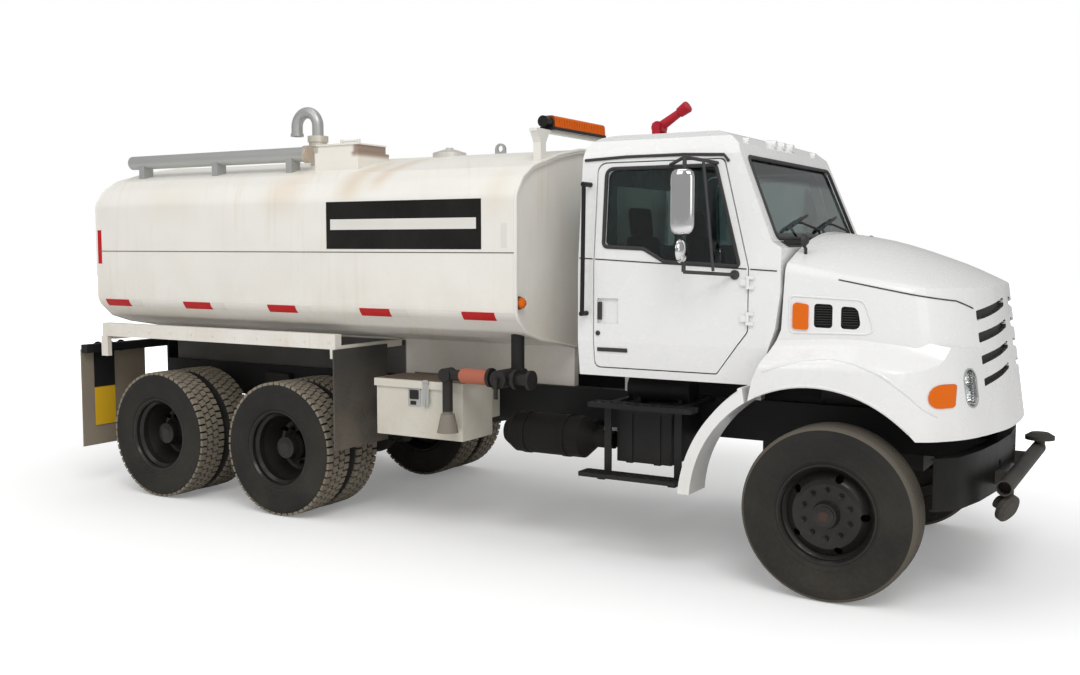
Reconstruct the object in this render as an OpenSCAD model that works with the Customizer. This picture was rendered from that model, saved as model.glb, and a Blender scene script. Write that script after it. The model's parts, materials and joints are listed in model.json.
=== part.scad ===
// Water truck: three-axle conventional-cab chassis with a rounded water tank.
// Millimetres. +X is forward, +Y is the driver's left, +Z is up, and the ground is Z = 0.
// Modules are drawn from the front axle (X = 0); place() moves them to the part's own origin,
// which is on the ground under the middle of the overall box.

/* [Chassis] */
// Front axle to the first rear axle
wheelbase = 4250; // [3900:10:5200]
// Distance between the two rear axles
tandem = 1330; // [1280:10:1450]
// Front axle to the foremost point of the spray bar
front_overhang = 1010; // [1000:5:1060]
// Last rear axle to the back of the tank
tank_tail = 660; // [600:10:900]
// Back of the tank to the rearmost point of the rear fittings
rear_fittings_reach = 300; // [280:5:400]
// Half of the spread over the frame rails
rail_half_spread = 430; // [410:5:450]
// Height of a frame rail
rail_h = 270; // [240:5:300]
// Height of the frame's top above the ground
rail_top_z = 1060; // [1040:5:1080]
// Thickness of the rail's web and flanges
rail_t = 10; // [8:1:12]

/* [Wheels] */
// Outside diameter of a tyre
tyre_d = 1040; // [1000:5:1060]
// Width of a tyre over its sidewalls
tyre_w = 280; // [260:5:290]
// Outside diameter of a rim's flange
rim_d = 597; // [580:1:610]
// Width of a rim over its flanges
rim_w = 235; // [225:1:245]
// Middle of a front tyre from the truck's middle
front_tyre_y = 1050; // [1030:5:1070]
// Middle of an outer rear tyre from the truck's middle
rear_tyre_y = 1080; // [1060:5:1090]
// Middle to middle of twin tyres
dual_spacing = 330; // [320:5:345]
// Number of wheel nuts
nut_count = 10; // [8:1:10]
// Diameter of the wheel nuts' circle
nut_circle_d = 286; // [275:1:335]
// Kingpin from the truck's middle
kingpin_y = 860; // [840:5:880]

/* [Cab] */
// Back of the cab from the front axle
cab_back = 1720; // [1700:5:1900]
// Front of the cab (firewall) behind the front axle
firewall_x = 330; // [310:5:350]
// Half width of the cab at the belt
cab_half_w = 1020; // [990:5:1040]
// Half width of the cab at the roof gutter
gutter_half_w = 955; // [930:5:980]
// Underside of the cab
cab_floor_z = 1230; // [1200:5:1250]
// Belt line height
belt_z = 1960; // [1930:5:1990]
// Roof gutter height
gutter_z = 2650; // [2620:5:2700]
// Top of the roof's crown
roof_z = 2840; // [2800:5:2880]
// Wall thickness of cab and doors
cab_wall = 55; // [40:1:70]
// Gap around doors and hood
panel_gap = 8; // [6:1:12]

/* [Hood] */
// Half width over the fender flares
flare_half_w = 1170; // [1120:5:1190]
// Half width of the hood above the flares
hood_half_w = 1000; // [960:5:1020]
// Wall of the moulded hood
hood_wall = 28; // [20:1:40]
// Foremost point of the hood at its lower edge
hood_nose_x = 872; // [860:2:885]
// Lower edge of the hood in front of the wheels
hood_low_z = 985; // [975:5:1000]
// Radius of the wheel arch
arch_r = 760; // [720:5:780]
// Half width of the grille openings
grille_half_w = 615; // [580:5:640]

/* [Tank] */
// Gap between cab and tank
tank_gap = 360; // [340:5:500]
// Half width of the tank
tank_half_w = 1220; // [1150:5:1230]
// Underside of the tank at the middle
tank_low_z = 1345; // [1330:5:1380]
// Top of the tank at the middle
tank_top_z = 2785; // [2700:5:2850]
// Outside diameter of the fill pipe
fill_pipe_d = 114; // [90:1:130]
// Bore of the fill pipe
fill_bore_d = 102; // [80:1:104]

/* [Hidden] */
$fn = 48;
axle_z = tyre_d / 2;
axle_1_x = -wheelbase;
axle_2_x = -wheelbase - tandem;
cab_back_x = -cab_back;
cab_front_x = -firewall_x;
tank_front_x = cab_back_x - tank_gap;
tank_rear_x = axle_2_x - tank_tail;
tank_len = tank_front_x - tank_rear_x;
rear_end_x = tank_rear_x - rear_fittings_reach;
origin_shift = -(front_overhang + rear_end_x) / 2;
rail_low_z = rail_top_z - rail_h;
seat_gap = 0.3;
door_low_z = 1290;
cab_deck_z = door_low_z - panel_gap;
driver_y = 480;
roof_pipe_z = tank_top_z + 5;
hatch_top_z = tank_top_z + 60;
light_z = tank_top_z + 95;
hood_hinge_x = 795;
hood_hinge_z = 1000;
door_hinge_x = -544;
door_hinge_y = -cab_half_w - 13;

// Helpers

function unit(v) = v / norm(v);

// Points of one rounded corner; each point is [x, y, radius]
function corner(a, b, c, n) =
  let (p = [b[0], b[1]], r = len(b) > 2 ? b[2] : 0)
  r <= 0 ? [p] :
  let (u = unit([a[0], a[1]] - p), v = unit([c[0], c[1]] - p),
       half = acos(u * v) / 2, d = r / tan(half), s = p + u * d, e = p + v * d,
       o = p + unit(u + v) * r / sin(half),
       a0 = atan2(s[1] - o[1], s[0] - o[0]), a1 = atan2(e[1] - o[1], e[0] - o[0]),
       da = (a1 - a0 + 900) % 360 - 180)
  [for (i = [0:n]) o + r * [cos(a0 + da * i / n), sin(a0 + da * i / n)]];

function round_poly(pts, n = 4) =
  let (m = len(pts))
  [for (i = [0:m - 1]) each corner(pts[(i + m - 1) % m], pts[i], pts[(i + 1) % m], n)];

// A half outline (first value positive) with its mirror image
function both(h) = concat(h, [for (i = [len(h) - 1:-1:0]) [-h[i][0], each [for (k = [1:len(h[i]) - 1]) h[i][k]]]]);

// Smooth curve through points, with n pieces between neighbours
function spline(p, n) = let (m = len(p)) concat(
  [for (i = [0:m - 2]) each [for (k = [0:n - 1])
    let (t = k / n, a = p[max(i - 1, 0)], b = p[i], c = p[i + 1], d = p[min(i + 2, m - 1)])
    0.5 * (2 * b + (c - a) * t + (2 * a - 5 * b + 4 * c - d) * t * t + (3 * b - a - 3 * c + d) * t * t * t)]],
  [p[m - 1]]);

module place() translate([origin_shift, 0, 0]) children();

// Extrusions whose flat outline is (x, z), (y, z) and (x, y)
module along_y(y0, y1) translate([0, y1, 0]) rotate([90, 0, 0]) linear_extrude(y1 - y0) children();
module along_x(x0, x1) translate([x0, 0, 0]) rotate([90, 0, 90]) linear_extrude(x1 - x0) children();
module along_z(z0, z1) translate([0, 0, z0]) linear_extrude(z1 - z0) children();

// A box from its two corners
module span(a, b) translate(a) cube(b - a);

// A round bar between two points
module rod(a, b, r) {
  d = b - a;
  translate(a) rotate([0, acos(d[2] / norm(d)), atan2(d[1], d[0])]) cylinder(h = norm(d), r = r);
}

// A bar along Y or X given by its middle line
module bar_y(x, z, y0, y1, r) translate([x, y0, z]) rotate([-90, 0, 0]) cylinder(h = y1 - y0, r = r);
module bar_x(y, z, x0, x1, r) translate([x0, y, z]) rotate([0, 90, 0]) cylinder(h = x1 - x0, r = r);

// The same thing on the right and on the left
module each_side() { children(); mirror([0, 1, 0]) children(); }
// Drawn on the right, shown on the side asked for
module on_side(side) { if (side < 0) children(); else mirror([0, 1, 0]) children(); }

// Chassis

module frame_rails() color([0.10, 0.10, 0.11]) place() each_side()
  difference() {
    span([tank_rear_x - 60, -rail_half_spread, rail_low_z], [700, -rail_half_spread + 80, rail_top_z]);
    span([tank_rear_x - 70, -rail_half_spread + rail_t, rail_low_z + rail_t],
         [710, -rail_half_spread + 90, rail_top_z - rail_t]);
  }

module crossmembers() color([0.10, 0.10, 0.11]) place() {
  for (x = [620, -1650, -2700, -3500, axle_1_x - tandem / 2, tank_rear_x + 60])
    span([x - 40, -rail_half_spread + rail_t, rail_top_z - 120], [x + 40, rail_half_spread - rail_t, rail_top_z - 40]);
  // Brackets of the hood's hinge on the rails' front ends
  each_side() difference() {
    union() {
      span([700, -415, hood_hinge_z - 20], [hood_hinge_x, -395, hood_hinge_z + 20]);
      span([700, -rail_half_spread, hood_hinge_z - 40], [712, -395, hood_hinge_z + 40]);
      bar_y(hood_hinge_x, hood_hinge_z, -415, -395, 20);
    }
    bar_y(hood_hinge_x, hood_hinge_z, -425, -385, 12 + seat_gap);
  }
}

module engine() color([0.24, 0.24, 0.26]) place() union() {
  span([-300, -270, 860], [430, 270, 1500]);
  span([-250, -200, 1500], [380, 200, 1740]);
  span([-200, -170, 640], [340, 170, 860]);
  span([-300, -rail_half_spread + rail_t, 900], [-180, rail_half_spread - rail_t, 1000]);
  bar_x(0, 1000, -900, -300, 200);
  bar_x(0, 980, -1350, -900, 180);
  bar_x(0, 1330, 430, 500, 60);
  translate([500, 0, 1330]) rotate([0, 90, 0]) cylinder(h = 25, r = 300);
}

module radiator() color([0.14, 0.14, 0.15]) place() difference() {
  span([560, -430, rail_top_z], [650, 430, 1680]);
  span([640, -380, rail_top_z + 60], [660, 380, 1620]);
}

module front_axle() color([0.09, 0.09, 0.10]) place() {
  difference() {
    union() {
      along_x(-45, 45) polygon(both([[600, 395], [kingpin_y - 60, axle_z - 40], [kingpin_y, axle_z - 40],
        [kingpin_y, axle_z + 40], [kingpin_y - 90, axle_z + 40], [560, 475]]));
      each_side() translate([0, -kingpin_y, axle_z - 50]) cylinder(h = 100, r = 52);
    }
    each_side() translate([0, -kingpin_y, axle_z - 60]) cylinder(h = 120, r = 24 + seat_gap);
  }
  each_side() union() {
    along_y(-rail_half_spread, -rail_half_spread + 75) intersection() {
      translate([0, 1736]) difference() { circle(r = 1266, $fn = 120); circle(r = 1206, $fn = 120); }
      translate([-640, 475]) square([1280, rail_low_z - 475]);
    }
    for (x = [-640, 570]) span([x, -rail_half_spread, 660], [x + 70, -rail_half_spread + 75, rail_low_z]);
  }
}

module rear_axle_at(x) translate([x, 0, axle_z]) {
  translate([0, -720, 0]) rotate([-90, 0, 0]) cylinder(h = 1440, r = 72);
  translate([0, -1050, 0]) rotate([-90, 0, 0]) cylinder(h = 2100, r = 48);
  sphere(r = 205);
  rotate([0, 90, 0]) cylinder(h = 300, r = 95);
  rotate([0, -90, 0]) cylinder(h = 240, r = 70);
  each_side() span([-70, -580, 0], [70, -480, 80]);
}

module rear_axles() color([0.09, 0.09, 0.10]) place() {
  rear_axle_at(axle_1_x);
  rear_axle_at(axle_2_x);
  each_side() {
    along_y(-570, -490) intersection() {
      translate([axle_1_x - tandem / 2, -620]) difference() { circle(r = 1420, $fn = 120); circle(r = 1330, $fn = 120); }
      translate([axle_2_x - 60, axle_z + 80]) square([tandem + 120, 400]);
    }
    difference() {
      span([axle_1_x - tandem / 2 - 130, -490, 480], [axle_1_x - tandem / 2 + 130, -rail_half_spread, rail_top_z - 60]);
      span([axle_1_x - tandem / 2 - 60, -500, 620], [axle_1_x - tandem / 2 + 60, -rail_half_spread + 10, 690]);
    }
  }
}

module driveline() color([0.13, 0.13, 0.13]) place() {
  union() {
    bar_x(0, 870, -1430, -1350, 70);
    rod([-1390, 0, 870], [-2700, 0, 800], 60);
    span([-2725, -75, 740], [-2675, 75, rail_top_z - 120]);
    rod([-2700, 0, 800], [axle_1_x + 330, 0, 530], 60);
    bar_x(0, axle_z, axle_1_x + 300, axle_1_x + 345, 90);
  }
  bar_x(0, axle_z, axle_2_x + 300, axle_1_x - 240, 50);
}

module muffler() color([0.16, 0.15, 0.15]) place() difference() {
  union() {
    bar_x(-900, 792, -2240, -1720, 140);
    translate([-2330, -900, 792]) rotate([0, 90, 0]) cylinder(h = 90, r1 = 84, r2 = 140);
    translate([-1720, -900, 792]) rotate([0, 90, 0]) cylinder(h = 90, r1 = 140, r2 = 60);
    bar_x(-900, 792, -1630, -1500, 60);
    for (x = [-2160, -1850]) {
      span([x - 25, -900, 765], [x + 25, -rail_half_spread, 825]);
      bar_x(-900, 792, x - 22, x + 22, 145);
    }
  }
  bar_x(-900, 792, -1600, -1490, 50);
}

module fuel_tank() color([0.70, 0.71, 0.72]) place() union() {
  bar_x(770, 738, -2700, -1780, 300);
  for (x = [-2560, -1920]) {
    span([x - 40, rail_half_spread, 800], [x + 40, 600, 960]);
    bar_x(770, 738, x - 30, x + 30, 305);
  }
  translate([-2240, 900, 950]) cylinder(h = 120, r = 60);
}

module step_tread(x0, x1, y0, y1, z0, z1) difference() {
  along_z(z0, z1) polygon(round_poly([[x0, y0, 18], [x1, y0, 18], [x1, y1, 18], [x0, y1, 18]]));
  for (x = [x0 + 40:60:x1 - 30]) for (k = [0, 1])
    translate([x + k * 30, k > 0 ? y0 + 95 : y0 + 45, z0 - 5]) cylinder(h = z1 - z0 + 10, r = 15);
}
module step_side() {
  step_tread(-1600, -870, -1120, -975, 1035, 1065);
  step_tread(-1660, -960, -1135, -990, 575, 602);
  for (x = [-1530, -1030]) {
    span([x, -1000, 580], [x + 50, -988, 1040]);
    span([x, -1100, 560], [x + 50, -990, 577]);
    span([x, -980, 1036], [x + 50, -rail_half_spread, 1056]);
  }
  // Battery box with its lid and straps, and an air tank on top of it
  span([-1470, -930, 660], [-1080, -rail_half_spread, 985]);
  span([-1482, -942, 985], [-1068, -rail_half_spread, 1012]);
  for (x = [-1400, -1200]) span([x, -938, 655], [x + 45, -900, 990]);
  bar_x(-640, 1122, -1500, -1050, 84);
  for (x = [-1440, -1140]) span([x, -700, 1010], [x + 30, -580, 1070]);
}
module cab_steps() color([0.07, 0.07, 0.08]) place() each_side() step_side();

// Cab

function cab_front_pts(w) = both([
  [cab_half_w - 30 - w, cab_floor_z + w], [cab_half_w - w, cab_floor_z + 230], [cab_half_w - w, belt_z],
  [gutter_half_w - w, gutter_z], [gutter_half_w - 12 - w, gutter_z + 40 - w / 2],
  [gutter_half_w - 60 - w, roof_z - 75 - w], [gutter_half_w - 180 - w, roof_z - 30 - w],
  [460, roof_z - 5 - w], [160, roof_z - w]]);

function cab_side_pts(w) = [
  [cab_back_x + w, cab_floor_z + w], [cab_front_x - 160 - w, cab_floor_z + w], [cab_front_x - 42 - w, 1578],
  [cab_front_x - 12 - w, 1800], [cab_front_x - 12 - w, 2070], [-405 - w, 2110], [-632 - w, 2660], [-652 - w, 2715 - w],
  [-720 - w, 2772 - w], [-860, 2815 - w], [-1150, roof_z - 4 - w], [-1400, roof_z - 2 - w],
  [cab_back_x + 70 + w, roof_z - 45 - w], [cab_back_x + 12 + w, roof_z - 110 - w], [cab_back_x + w, gutter_z]];

module cab_solid(w) intersection() {
  along_x(cab_back_x - 50, 0) polygon(cab_front_pts(w));
  along_y(-1400, 1400) polygon(cab_side_pts(w));
}
module cab_shell() difference() { cab_solid(0); cab_solid(cab_wall); }

// Door outline grown by g
function door_pts(g) = round_poly([
  [-1600 - g, door_low_z - g, 40], [-752 + g * 0.3, door_low_z - g, 20], [-548 + g, 1560 - g * 0.5, 60], [-548 + g, 1950, 40],
  [-735 + g, 2615 + g, 40], [-1600 - g, 2615 + g, 60]]);
function window_pts(g) = round_poly([
  [-1530 - g, 2085 - g, 30], [-1250, 2072 - g, 60], [-1100, 1990 - g, 80], [-614 + g, 1966 - g, 14],
  [-793 + g, 2570 + g, 30], [-1530 - g, 2570 + g, 50]]);

function screen_pts(g) = round_poly(both([[cab_half_w - 135 + g, 2135 - g, 40], [gutter_half_w - 110 + g, 2625 + g, 50]]));
function back_window_pts(g) = round_poly(both([[gutter_half_w - 395 + g, 2080 - g, 60], [gutter_half_w - 395 + g, 2500 + g, 60]]));

module cab_body() color([0.92, 0.91, 0.88]) place() union() { cab_box(); cab_mounts(); }
module cab_box() difference() {
  intersection() {
    cab_shell();
    span([-3000, -1400, 1000], [0, 1400, gutter_z]);
  }
  along_y(-1400, 1400) polygon(door_pts(panel_gap));
  along_x(-800, 0) polygon(screen_pts(0));
  along_x(-2200, -1500) polygon(back_window_pts(0));
}

// Mounts under the cab and the fixed halves of the door hinges
module cab_mounts() each_side() {
  for (x = [-760, -1660]) span([x, -rail_half_spread, rail_top_z], [x + 100, -rail_half_spread + 80, cab_floor_z + 20]);
  for (z = [1640, 1860]) difference() {
    union() {
      for (k = [-40, 20]) translate([door_hinge_x, door_hinge_y, z + k]) cylinder(h = 20, r = 11);
      for (k = [-40, 20]) span([door_hinge_x, door_hinge_y - 5, z + k], [door_hinge_x + 40, -cab_half_w + 10, z + k + 20]);
      translate([door_hinge_x, door_hinge_y, z - 40]) cylinder(h = 80, r = 5);
    }
    span([door_hinge_x - 30, -cab_half_w - 1, z - 60], [door_hinge_x + 5, -cab_half_w + 40, z + 60]);
  }
}

module cab_roof() color([0.92, 0.91, 0.88]) place() union() {
  difference() {
    intersection() {
      cab_shell();
      span([-3000, -1400, gutter_z], [0, 1400, 3000]);
    }
    along_x(-800, 0) polygon(screen_pts(0));
  }
  for (y = [-700, -180, 0, 180, 700]) translate([-735, y, abs(y) > 500 ? 2735 : 2757]) rotate([0, 90, 0])
    cylinder(h = 70, r1 = 34, r2 = 26);
}

module cab_glass() color([0.16, 0.19, 0.20]) place() {
  intersection() {
    difference() { cab_solid(14); cab_solid(20); }
    along_x(-800, 0) polygon(screen_pts(-seat_gap));
  }
  intersection() {
    difference() { cab_solid(14); cab_solid(20); }
    along_x(-2200, -1500) polygon(back_window_pts(-seat_gap));
  }
}

module seat_at(y) {
  along_y(y - 240, y + 240) polygon(round_poly([[-1480, cab_deck_z], [-1040, cab_deck_z], [-1000, 1640, 60], [-1040, 1730, 50],
    [-1400, 1720, 20], [-1470, 2330, 40], [-1570, 2340, 40], [-1500, 1640]]));
}
module seats() color([0.20, 0.20, 0.21]) place() { seat_at(driver_y); seat_at(-driver_y); }
module dashboard() color([0.16, 0.16, 0.17]) place() union() {
  along_y(-cab_half_w + 200, cab_half_w - 200) polygon(round_poly([[-440, 1700], [-397.3, 1800], [-397.3, 2035],
    [-560, 2025, 30], [-640, 1880, 40], [-620, 1700, 30]]));
  translate([-760, driver_y, 1960]) rotate([0, -62, 0]) {
    rotate_extrude() translate([215, 0]) circle(r = 16);
    for (a = [0, 120, 240]) rotate([0, 0, a]) translate([0, -14, -8]) cube([212, 28, 16]);
    cylinder(h = 24, r = 52, center = true);
    translate([0, 0, -170]) cylinder(h = 170, r = 22);
  }
}

// Panel behind the front wheel, below the door's front corner
module cab_skirts() color([0.92, 0.91, 0.88]) place() each_side() difference() {
  along_y(-flare_half_w + 10, -900) intersection() {
    difference() {
      translate([-60, 470]) circle(r = 900, $fn = 120);
      translate([-100, 500]) circle(r = arch_r, $fn = 120);
    }
    polygon([[-1000, 540], [-700, 540], [-500, 1090], [-525, cab_floor_z], [-740, cab_floor_z], [-860, 1000]]);
  }
  along_y(-flare_half_w - 10, -1060) intersection() {
    translate([-60, 470]) difference() { circle(r = 960, $fn = 120); circle(r = 880, $fn = 120); }
    polygon([[-1000, 500], [-700, 500], [-480, 1090], [-600, 1300], [-1000, 1300]]);
  }
}

module grab_side() difference() {
  union() {
    rod([-1655, -cab_half_w - 65, 1640], [-1655, -cab_half_w - 45, 2480], 14);
    for (z = [1640, 2480]) bar_y(-1655, z, -cab_half_w - (z > 2000 ? 59 : 79), -gutter_half_w + 60, 16);
  }
  cab_solid(0);
}
module grab_handles() color([0.06, 0.06, 0.06]) place() each_side() grab_side();

// Bumper and spray bar

bumper_line = [[600, 1115], [700, 1005], [770, 700], [812, 350], [830, 0]];
function bumper_pts(t) = let (m = [for (i = [3:-1:0]) [bumper_line[i][0], -bumper_line[i][1]]], f = concat(bumper_line, m))
  concat(f, [for (i = [len(f) - 1:-1:0]) [f[i][0] - t, f[i][1]]]);

module bumper() color([0.06, 0.06, 0.065]) place() {
  difference() {
    union() {
      along_z(600, 900) polygon(bumper_pts(14));
      along_z(600, 612) polygon(bumper_pts(75));
      along_z(888, 900) polygon(bumper_pts(75));
      each_side() span([700, -rail_half_spread, 720], [795, -rail_half_spread + 40, 880]);
    }
    for (y = [-300, 300]) translate([700, y, 760]) rotate([0, 90, 0]) cylinder(h = 200, r = 30);
    each_side() translate([0, -kingpin_y, 590]) cylinder(h = 320, r = 625, $fn = 96);
  }
}

module spray_head(x, y, z, up) translate([x, y, z]) rotate([up ? 0 : 180, 0, 0]) {
  cylinder(h = 95, r = 34);
  translate([0, 0, 70]) cylinder(h = 26, r = 95);
  translate([0, 0, 96]) cylinder(h = 22, r1 = 95, r2 = 60);
}
module spray_bar() color([0.22, 0.21, 0.20]) place() union() {
  difference() {
    bar_y(900, 690, -700, 850, 46);
    bar_y(900, 690, -720, -600, 38);
  }
  translate([900, -555, 570]) cylinder(h = 110, r = 34);
  translate([898, -612, 566]) rotate([0, 0, -28]) rotate([0, 112, 0]) {
    translate([0, 0, -60]) cylinder(h = 80, r = 40);
    cylinder(h = 26, r = 86);
    translate([0, 0, 26]) cylinder(h = 16, r1 = 86, r2 = 58);
  }
  spray_head(front_overhang - 95, 760, 690, true);
  for (y = [-380, 380]) difference() {
    span([780, y - 25, 650], [900, y + 25, 730]);
    along_z(600, 900) translate([0, 0]) polygon(concat(bumper_line, [for (i = [3:-1:0]) [bumper_line[i][0], -bumper_line[i][1]]]));
  }
}

// Water tank

function tank_half(w) = [
  [390, tank_low_z + w], [tank_half_w - 320 - w * 0.2, tank_low_z + 90 + w], [tank_half_w - 130 - w * 0.6, tank_low_z + 150 + w * 0.8, 90],
  [tank_half_w - w, tank_low_z + 270 + w * 0.4, 110], [tank_half_w - w, tank_top_z - 365 - w * 0.3, 110],
  [tank_half_w - 85 - w, tank_top_z - 245 - w * 0.6, 90], [tank_half_w - 220 - w * 0.6, tank_top_z - 165 - w * 0.9],
  [640, tank_top_z - 66 - w], [340, tank_top_z - 14 - w], [120, tank_top_z - w]];
function tank_pts(w) = round_poly(both(tank_half(w)));
module tank_solid(w = 0) along_x(tank_rear_x + w, tank_front_x - w) polygon(tank_pts(w));

hatch_x0 = -4100;
hatch_x1 = -3710;
hatch_y0 = -850;
hatch_y1 = -510;
tank_wall = 12;

module tank() color([0.90, 0.88, 0.82]) place() difference() {
  tank_solid();
  tank_solid(tank_wall + 28);
  for (x = [tank_front_x - 22, tank_rear_x - 10]) along_x(x, x + 32) polygon(tank_pts(26));
  span([hatch_x0 + 40, hatch_y0 + 40, tank_top_z - 485], [hatch_x1 - 40, hatch_y1 - 40, tank_top_z + 215]);
}

module tank_sills() color([0.90, 0.88, 0.82]) place() {
  each_side() span([tank_rear_x + 20, -390, rail_top_z], [tank_front_x - 10, -330, tank_low_z]);
}

module fender_side() {
  z0 = tank_low_z - 25;
  span([axle_2_x - 620, -tank_half_w, z0], [axle_1_x + 610, -tank_half_w + 70, z0 + 110]);
  span([axle_2_x - 640, -tank_half_w, z0 - 170], [axle_2_x - 560, -tank_half_w + 40, z0]);
  span([axle_1_x + 560, -tank_half_w, z0 - 70], [axle_1_x + 610, -tank_half_w + 40, z0]);
  for (x = [axle_2_x - 600, axle_1_x + 560]) span([x, -tank_half_w + 70, z0 - 30], [x + 50, -390, z0 + 20]);
}
module rear_fenders() color([0.90, 0.88, 0.82]) place() each_side() fender_side();

module mudflaps() color([0.12, 0.12, 0.12]) place() each_side() {
  span([axle_1_x + 610, -tank_half_w - 30, 570], [axle_1_x + 622, -620, tank_low_z - 25]);
  span([tank_rear_x - 168, -tank_half_w - 70, 360], [tank_rear_x - 155, -620, 1200]);
}

module tank_pipes() color([0.82, 0.82, 0.80]) place() {
  // Fill pipe lying along the roof
  difference() {
    union() {
      bar_x(-850, roof_pipe_z, tank_rear_x + 40, hatch_x0 - 90, fill_pipe_d / 2);
      bar_x(-850, roof_pipe_z, hatch_x0 - 130, hatch_x0 - 98, fill_pipe_d / 2 + 10);
      for (x = [tank_rear_x + 200, (tank_rear_x + hatch_x0) / 2, hatch_x0 - 260])
        span([x - 30, -900, tank_top_z - 185], [x + 30, -800, roof_pipe_z]);
    }
    tank_solid();
    bar_x(-850, roof_pipe_z, tank_rear_x + 30, hatch_x0 - 200, fill_bore_d / 2);
  }
  // Gooseneck that turns down over the hatch
  difference() {
    union() {
      translate([hatch_x0 - 220, -600, tank_top_z - 185]) cylinder(h = 435, r = 45);
      translate([hatch_x0 - 220, -600, tank_top_z - 185]) cylinder(h = 285, r = 62);
      translate([hatch_x0 - 220, -600, tank_top_z + 82]) cylinder(h = 40, r = 72);
      translate([hatch_x0 - 220, -600, tank_top_z + 120]) cylinder(h = 48, r = 82);
      translate([hatch_x0 - 330, -600, tank_top_z + 250]) rotate([90, 0, 0]) rotate_extrude(angle = 180) translate([110, 0]) circle(r = 45);
      translate([hatch_x0 - 440, -600, tank_top_z + 185]) cylinder(h = 65, r = 45);
      translate([hatch_x0 - 440, -600, tank_top_z + 175]) cylinder(h = 24, r = 52);
    }
    tank_solid();
    translate([hatch_x0 - 440, -600, tank_top_z + 165]) cylinder(h = 70, r = 36);
  }
  // Breather and lifting eyes on the roof
  difference() {
    union() {
      translate([tank_front_x - 1170, -300, tank_top_z - 60]) cylinder(h = 72, r = 130);
      translate([tank_front_x - 1170, -300, tank_top_z + 12]) cylinder(h = 26, r1 = 130, r2 = 46);
      translate([tank_front_x - 1170, -300, tank_top_z + 30]) cylinder(h = 22, r = 30);
    }
    tank_solid();
  }
  for (x = [tank_front_x - 700, tank_rear_x + 500]) difference() {
    union() {
      span([x - 45, -310, tank_top_z - 60], [x + 45, -290, tank_top_z + 20]);
      bar_y(x, tank_top_z + 20, -310, -290, 45);
    }
    tank_solid();
    bar_y(x, tank_top_z + 26, -320, -280, 24);
  }
}

module hatch() color([0.72, 0.60, 0.48]) place() {
  difference() {
    union() {
      span([hatch_x0, hatch_y0, tank_top_z - 285], [hatch_x1, hatch_y1, hatch_top_z]);
      span([hatch_x0 - 18, hatch_y0 - 18, tank_top_z - 285], [hatch_x1 + 18, hatch_y1 + 18, hatch_top_z - 55]);
    }
    span([hatch_x0 + 25, hatch_y0 + 25, tank_top_z - 385], [hatch_x1 - 25, hatch_y1 - 25, hatch_top_z + 50]);
    tank_solid();
  }
  // Fixed halves of the lid's hinges, with their pins
  for (x = [hatch_x0 + 50, hatch_x1 - 110]) {
    span([x, hatch_y1, hatch_top_z - 40], [x + 25, hatch_y1 + 19, hatch_top_z + 11]);
    bar_x(hatch_y1 + 10, hatch_top_z + 11, x, x + 25, 9);
    bar_x(hatch_y1 + 10, hatch_top_z + 11, x + 20, x + 60, 4);
  }
}

// Lid of the hatch, hinged on its inner edge
module hatch_lid() color([0.90, 0.88, 0.82]) place() union() {
  span([hatch_x0 - 12, hatch_y0 - 12, hatch_top_z + seat_gap], [hatch_x1 + 12, hatch_y1 - 4, hatch_top_z + 11]);
  span([hatch_x0 + 50, hatch_y0 + 50, hatch_top_z + 8], [hatch_x1 - 50, hatch_y1 - 70, hatch_top_z + 19]);
  bar_x((hatch_y0 + hatch_y1) / 2 - 20, hatch_top_z + 44, hatch_x0 + 110, hatch_x1 - 110, 10);
  for (x = [hatch_x0 + 110, hatch_x1 - 110])
    translate([x, (hatch_y0 + hatch_y1) / 2 - 20, hatch_top_z + 5]) cylinder(h = 52, r = 13);
  for (x = [hatch_x0 + 50, hatch_x1 - 110]) difference() {
    union() {
      bar_x(hatch_y1 + 10, hatch_top_z + 11, x + 25 + seat_gap, x + 60, 9);
      span([x + 25 + seat_gap, hatch_y1 - 20, hatch_top_z + 5], [x + 60, hatch_y1 + 10, hatch_top_z + 11]);
    }
    bar_x(hatch_y1 + 10, hatch_top_z + 11, x + 10, x + 70, 4 + seat_gap);
  }
}

// Side equipment

box_x0 = -3350;
box_x1 = -2592;
box_y0 = -1100;
box_y1 = -720;
box_z0 = 710;
box_z1 = 1105;
module toolbox() color([0.92, 0.90, 0.85]) place() {
  difference() {
    union() {
      span([box_x0, box_y0, box_z0], [box_x1, box_y1, box_z1]);
      for (x = [box_x0 + 120, box_x1 - 180]) span([x, box_y1, 800], [x + 60, -rail_half_spread, 1000]);
    }
    span([box_x0 + 8, box_y0 + 8, box_z0 + 8], [box_x1 - 8, box_y1 - 8, box_z1 + 10]);
  }
}
box_hasp_x = box_x1 - 300;
module toolbox_lid() color([0.92, 0.90, 0.85]) place() {
  union() {
    span([box_x0 - 14, box_y0 - 14, box_z1 + seat_gap], [box_x1 + 14, box_y1 - 4, box_z1 + 14]);
    span([box_x0 - 14, box_y0 - 14, box_z1 - 40], [box_x1 + 14, box_y0 - 8, box_z1 + 6]);
    span([box_hasp_x - 22, box_y0 - 22, box_z1 - 120], [box_hasp_x + 22, box_y0 - 13, box_z1 - 10]);
    bar_x(box_y1 + 10, box_z1 + 12, box_x0 + 60, box_x1 - 60, 11);
    for (x = [box_x0 + 100, box_x1 - 160]) span([x, box_y1 - 8, box_z1 + 2], [x + 60, box_y1 + 10, box_z1 + 14]);
  }
}

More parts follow.
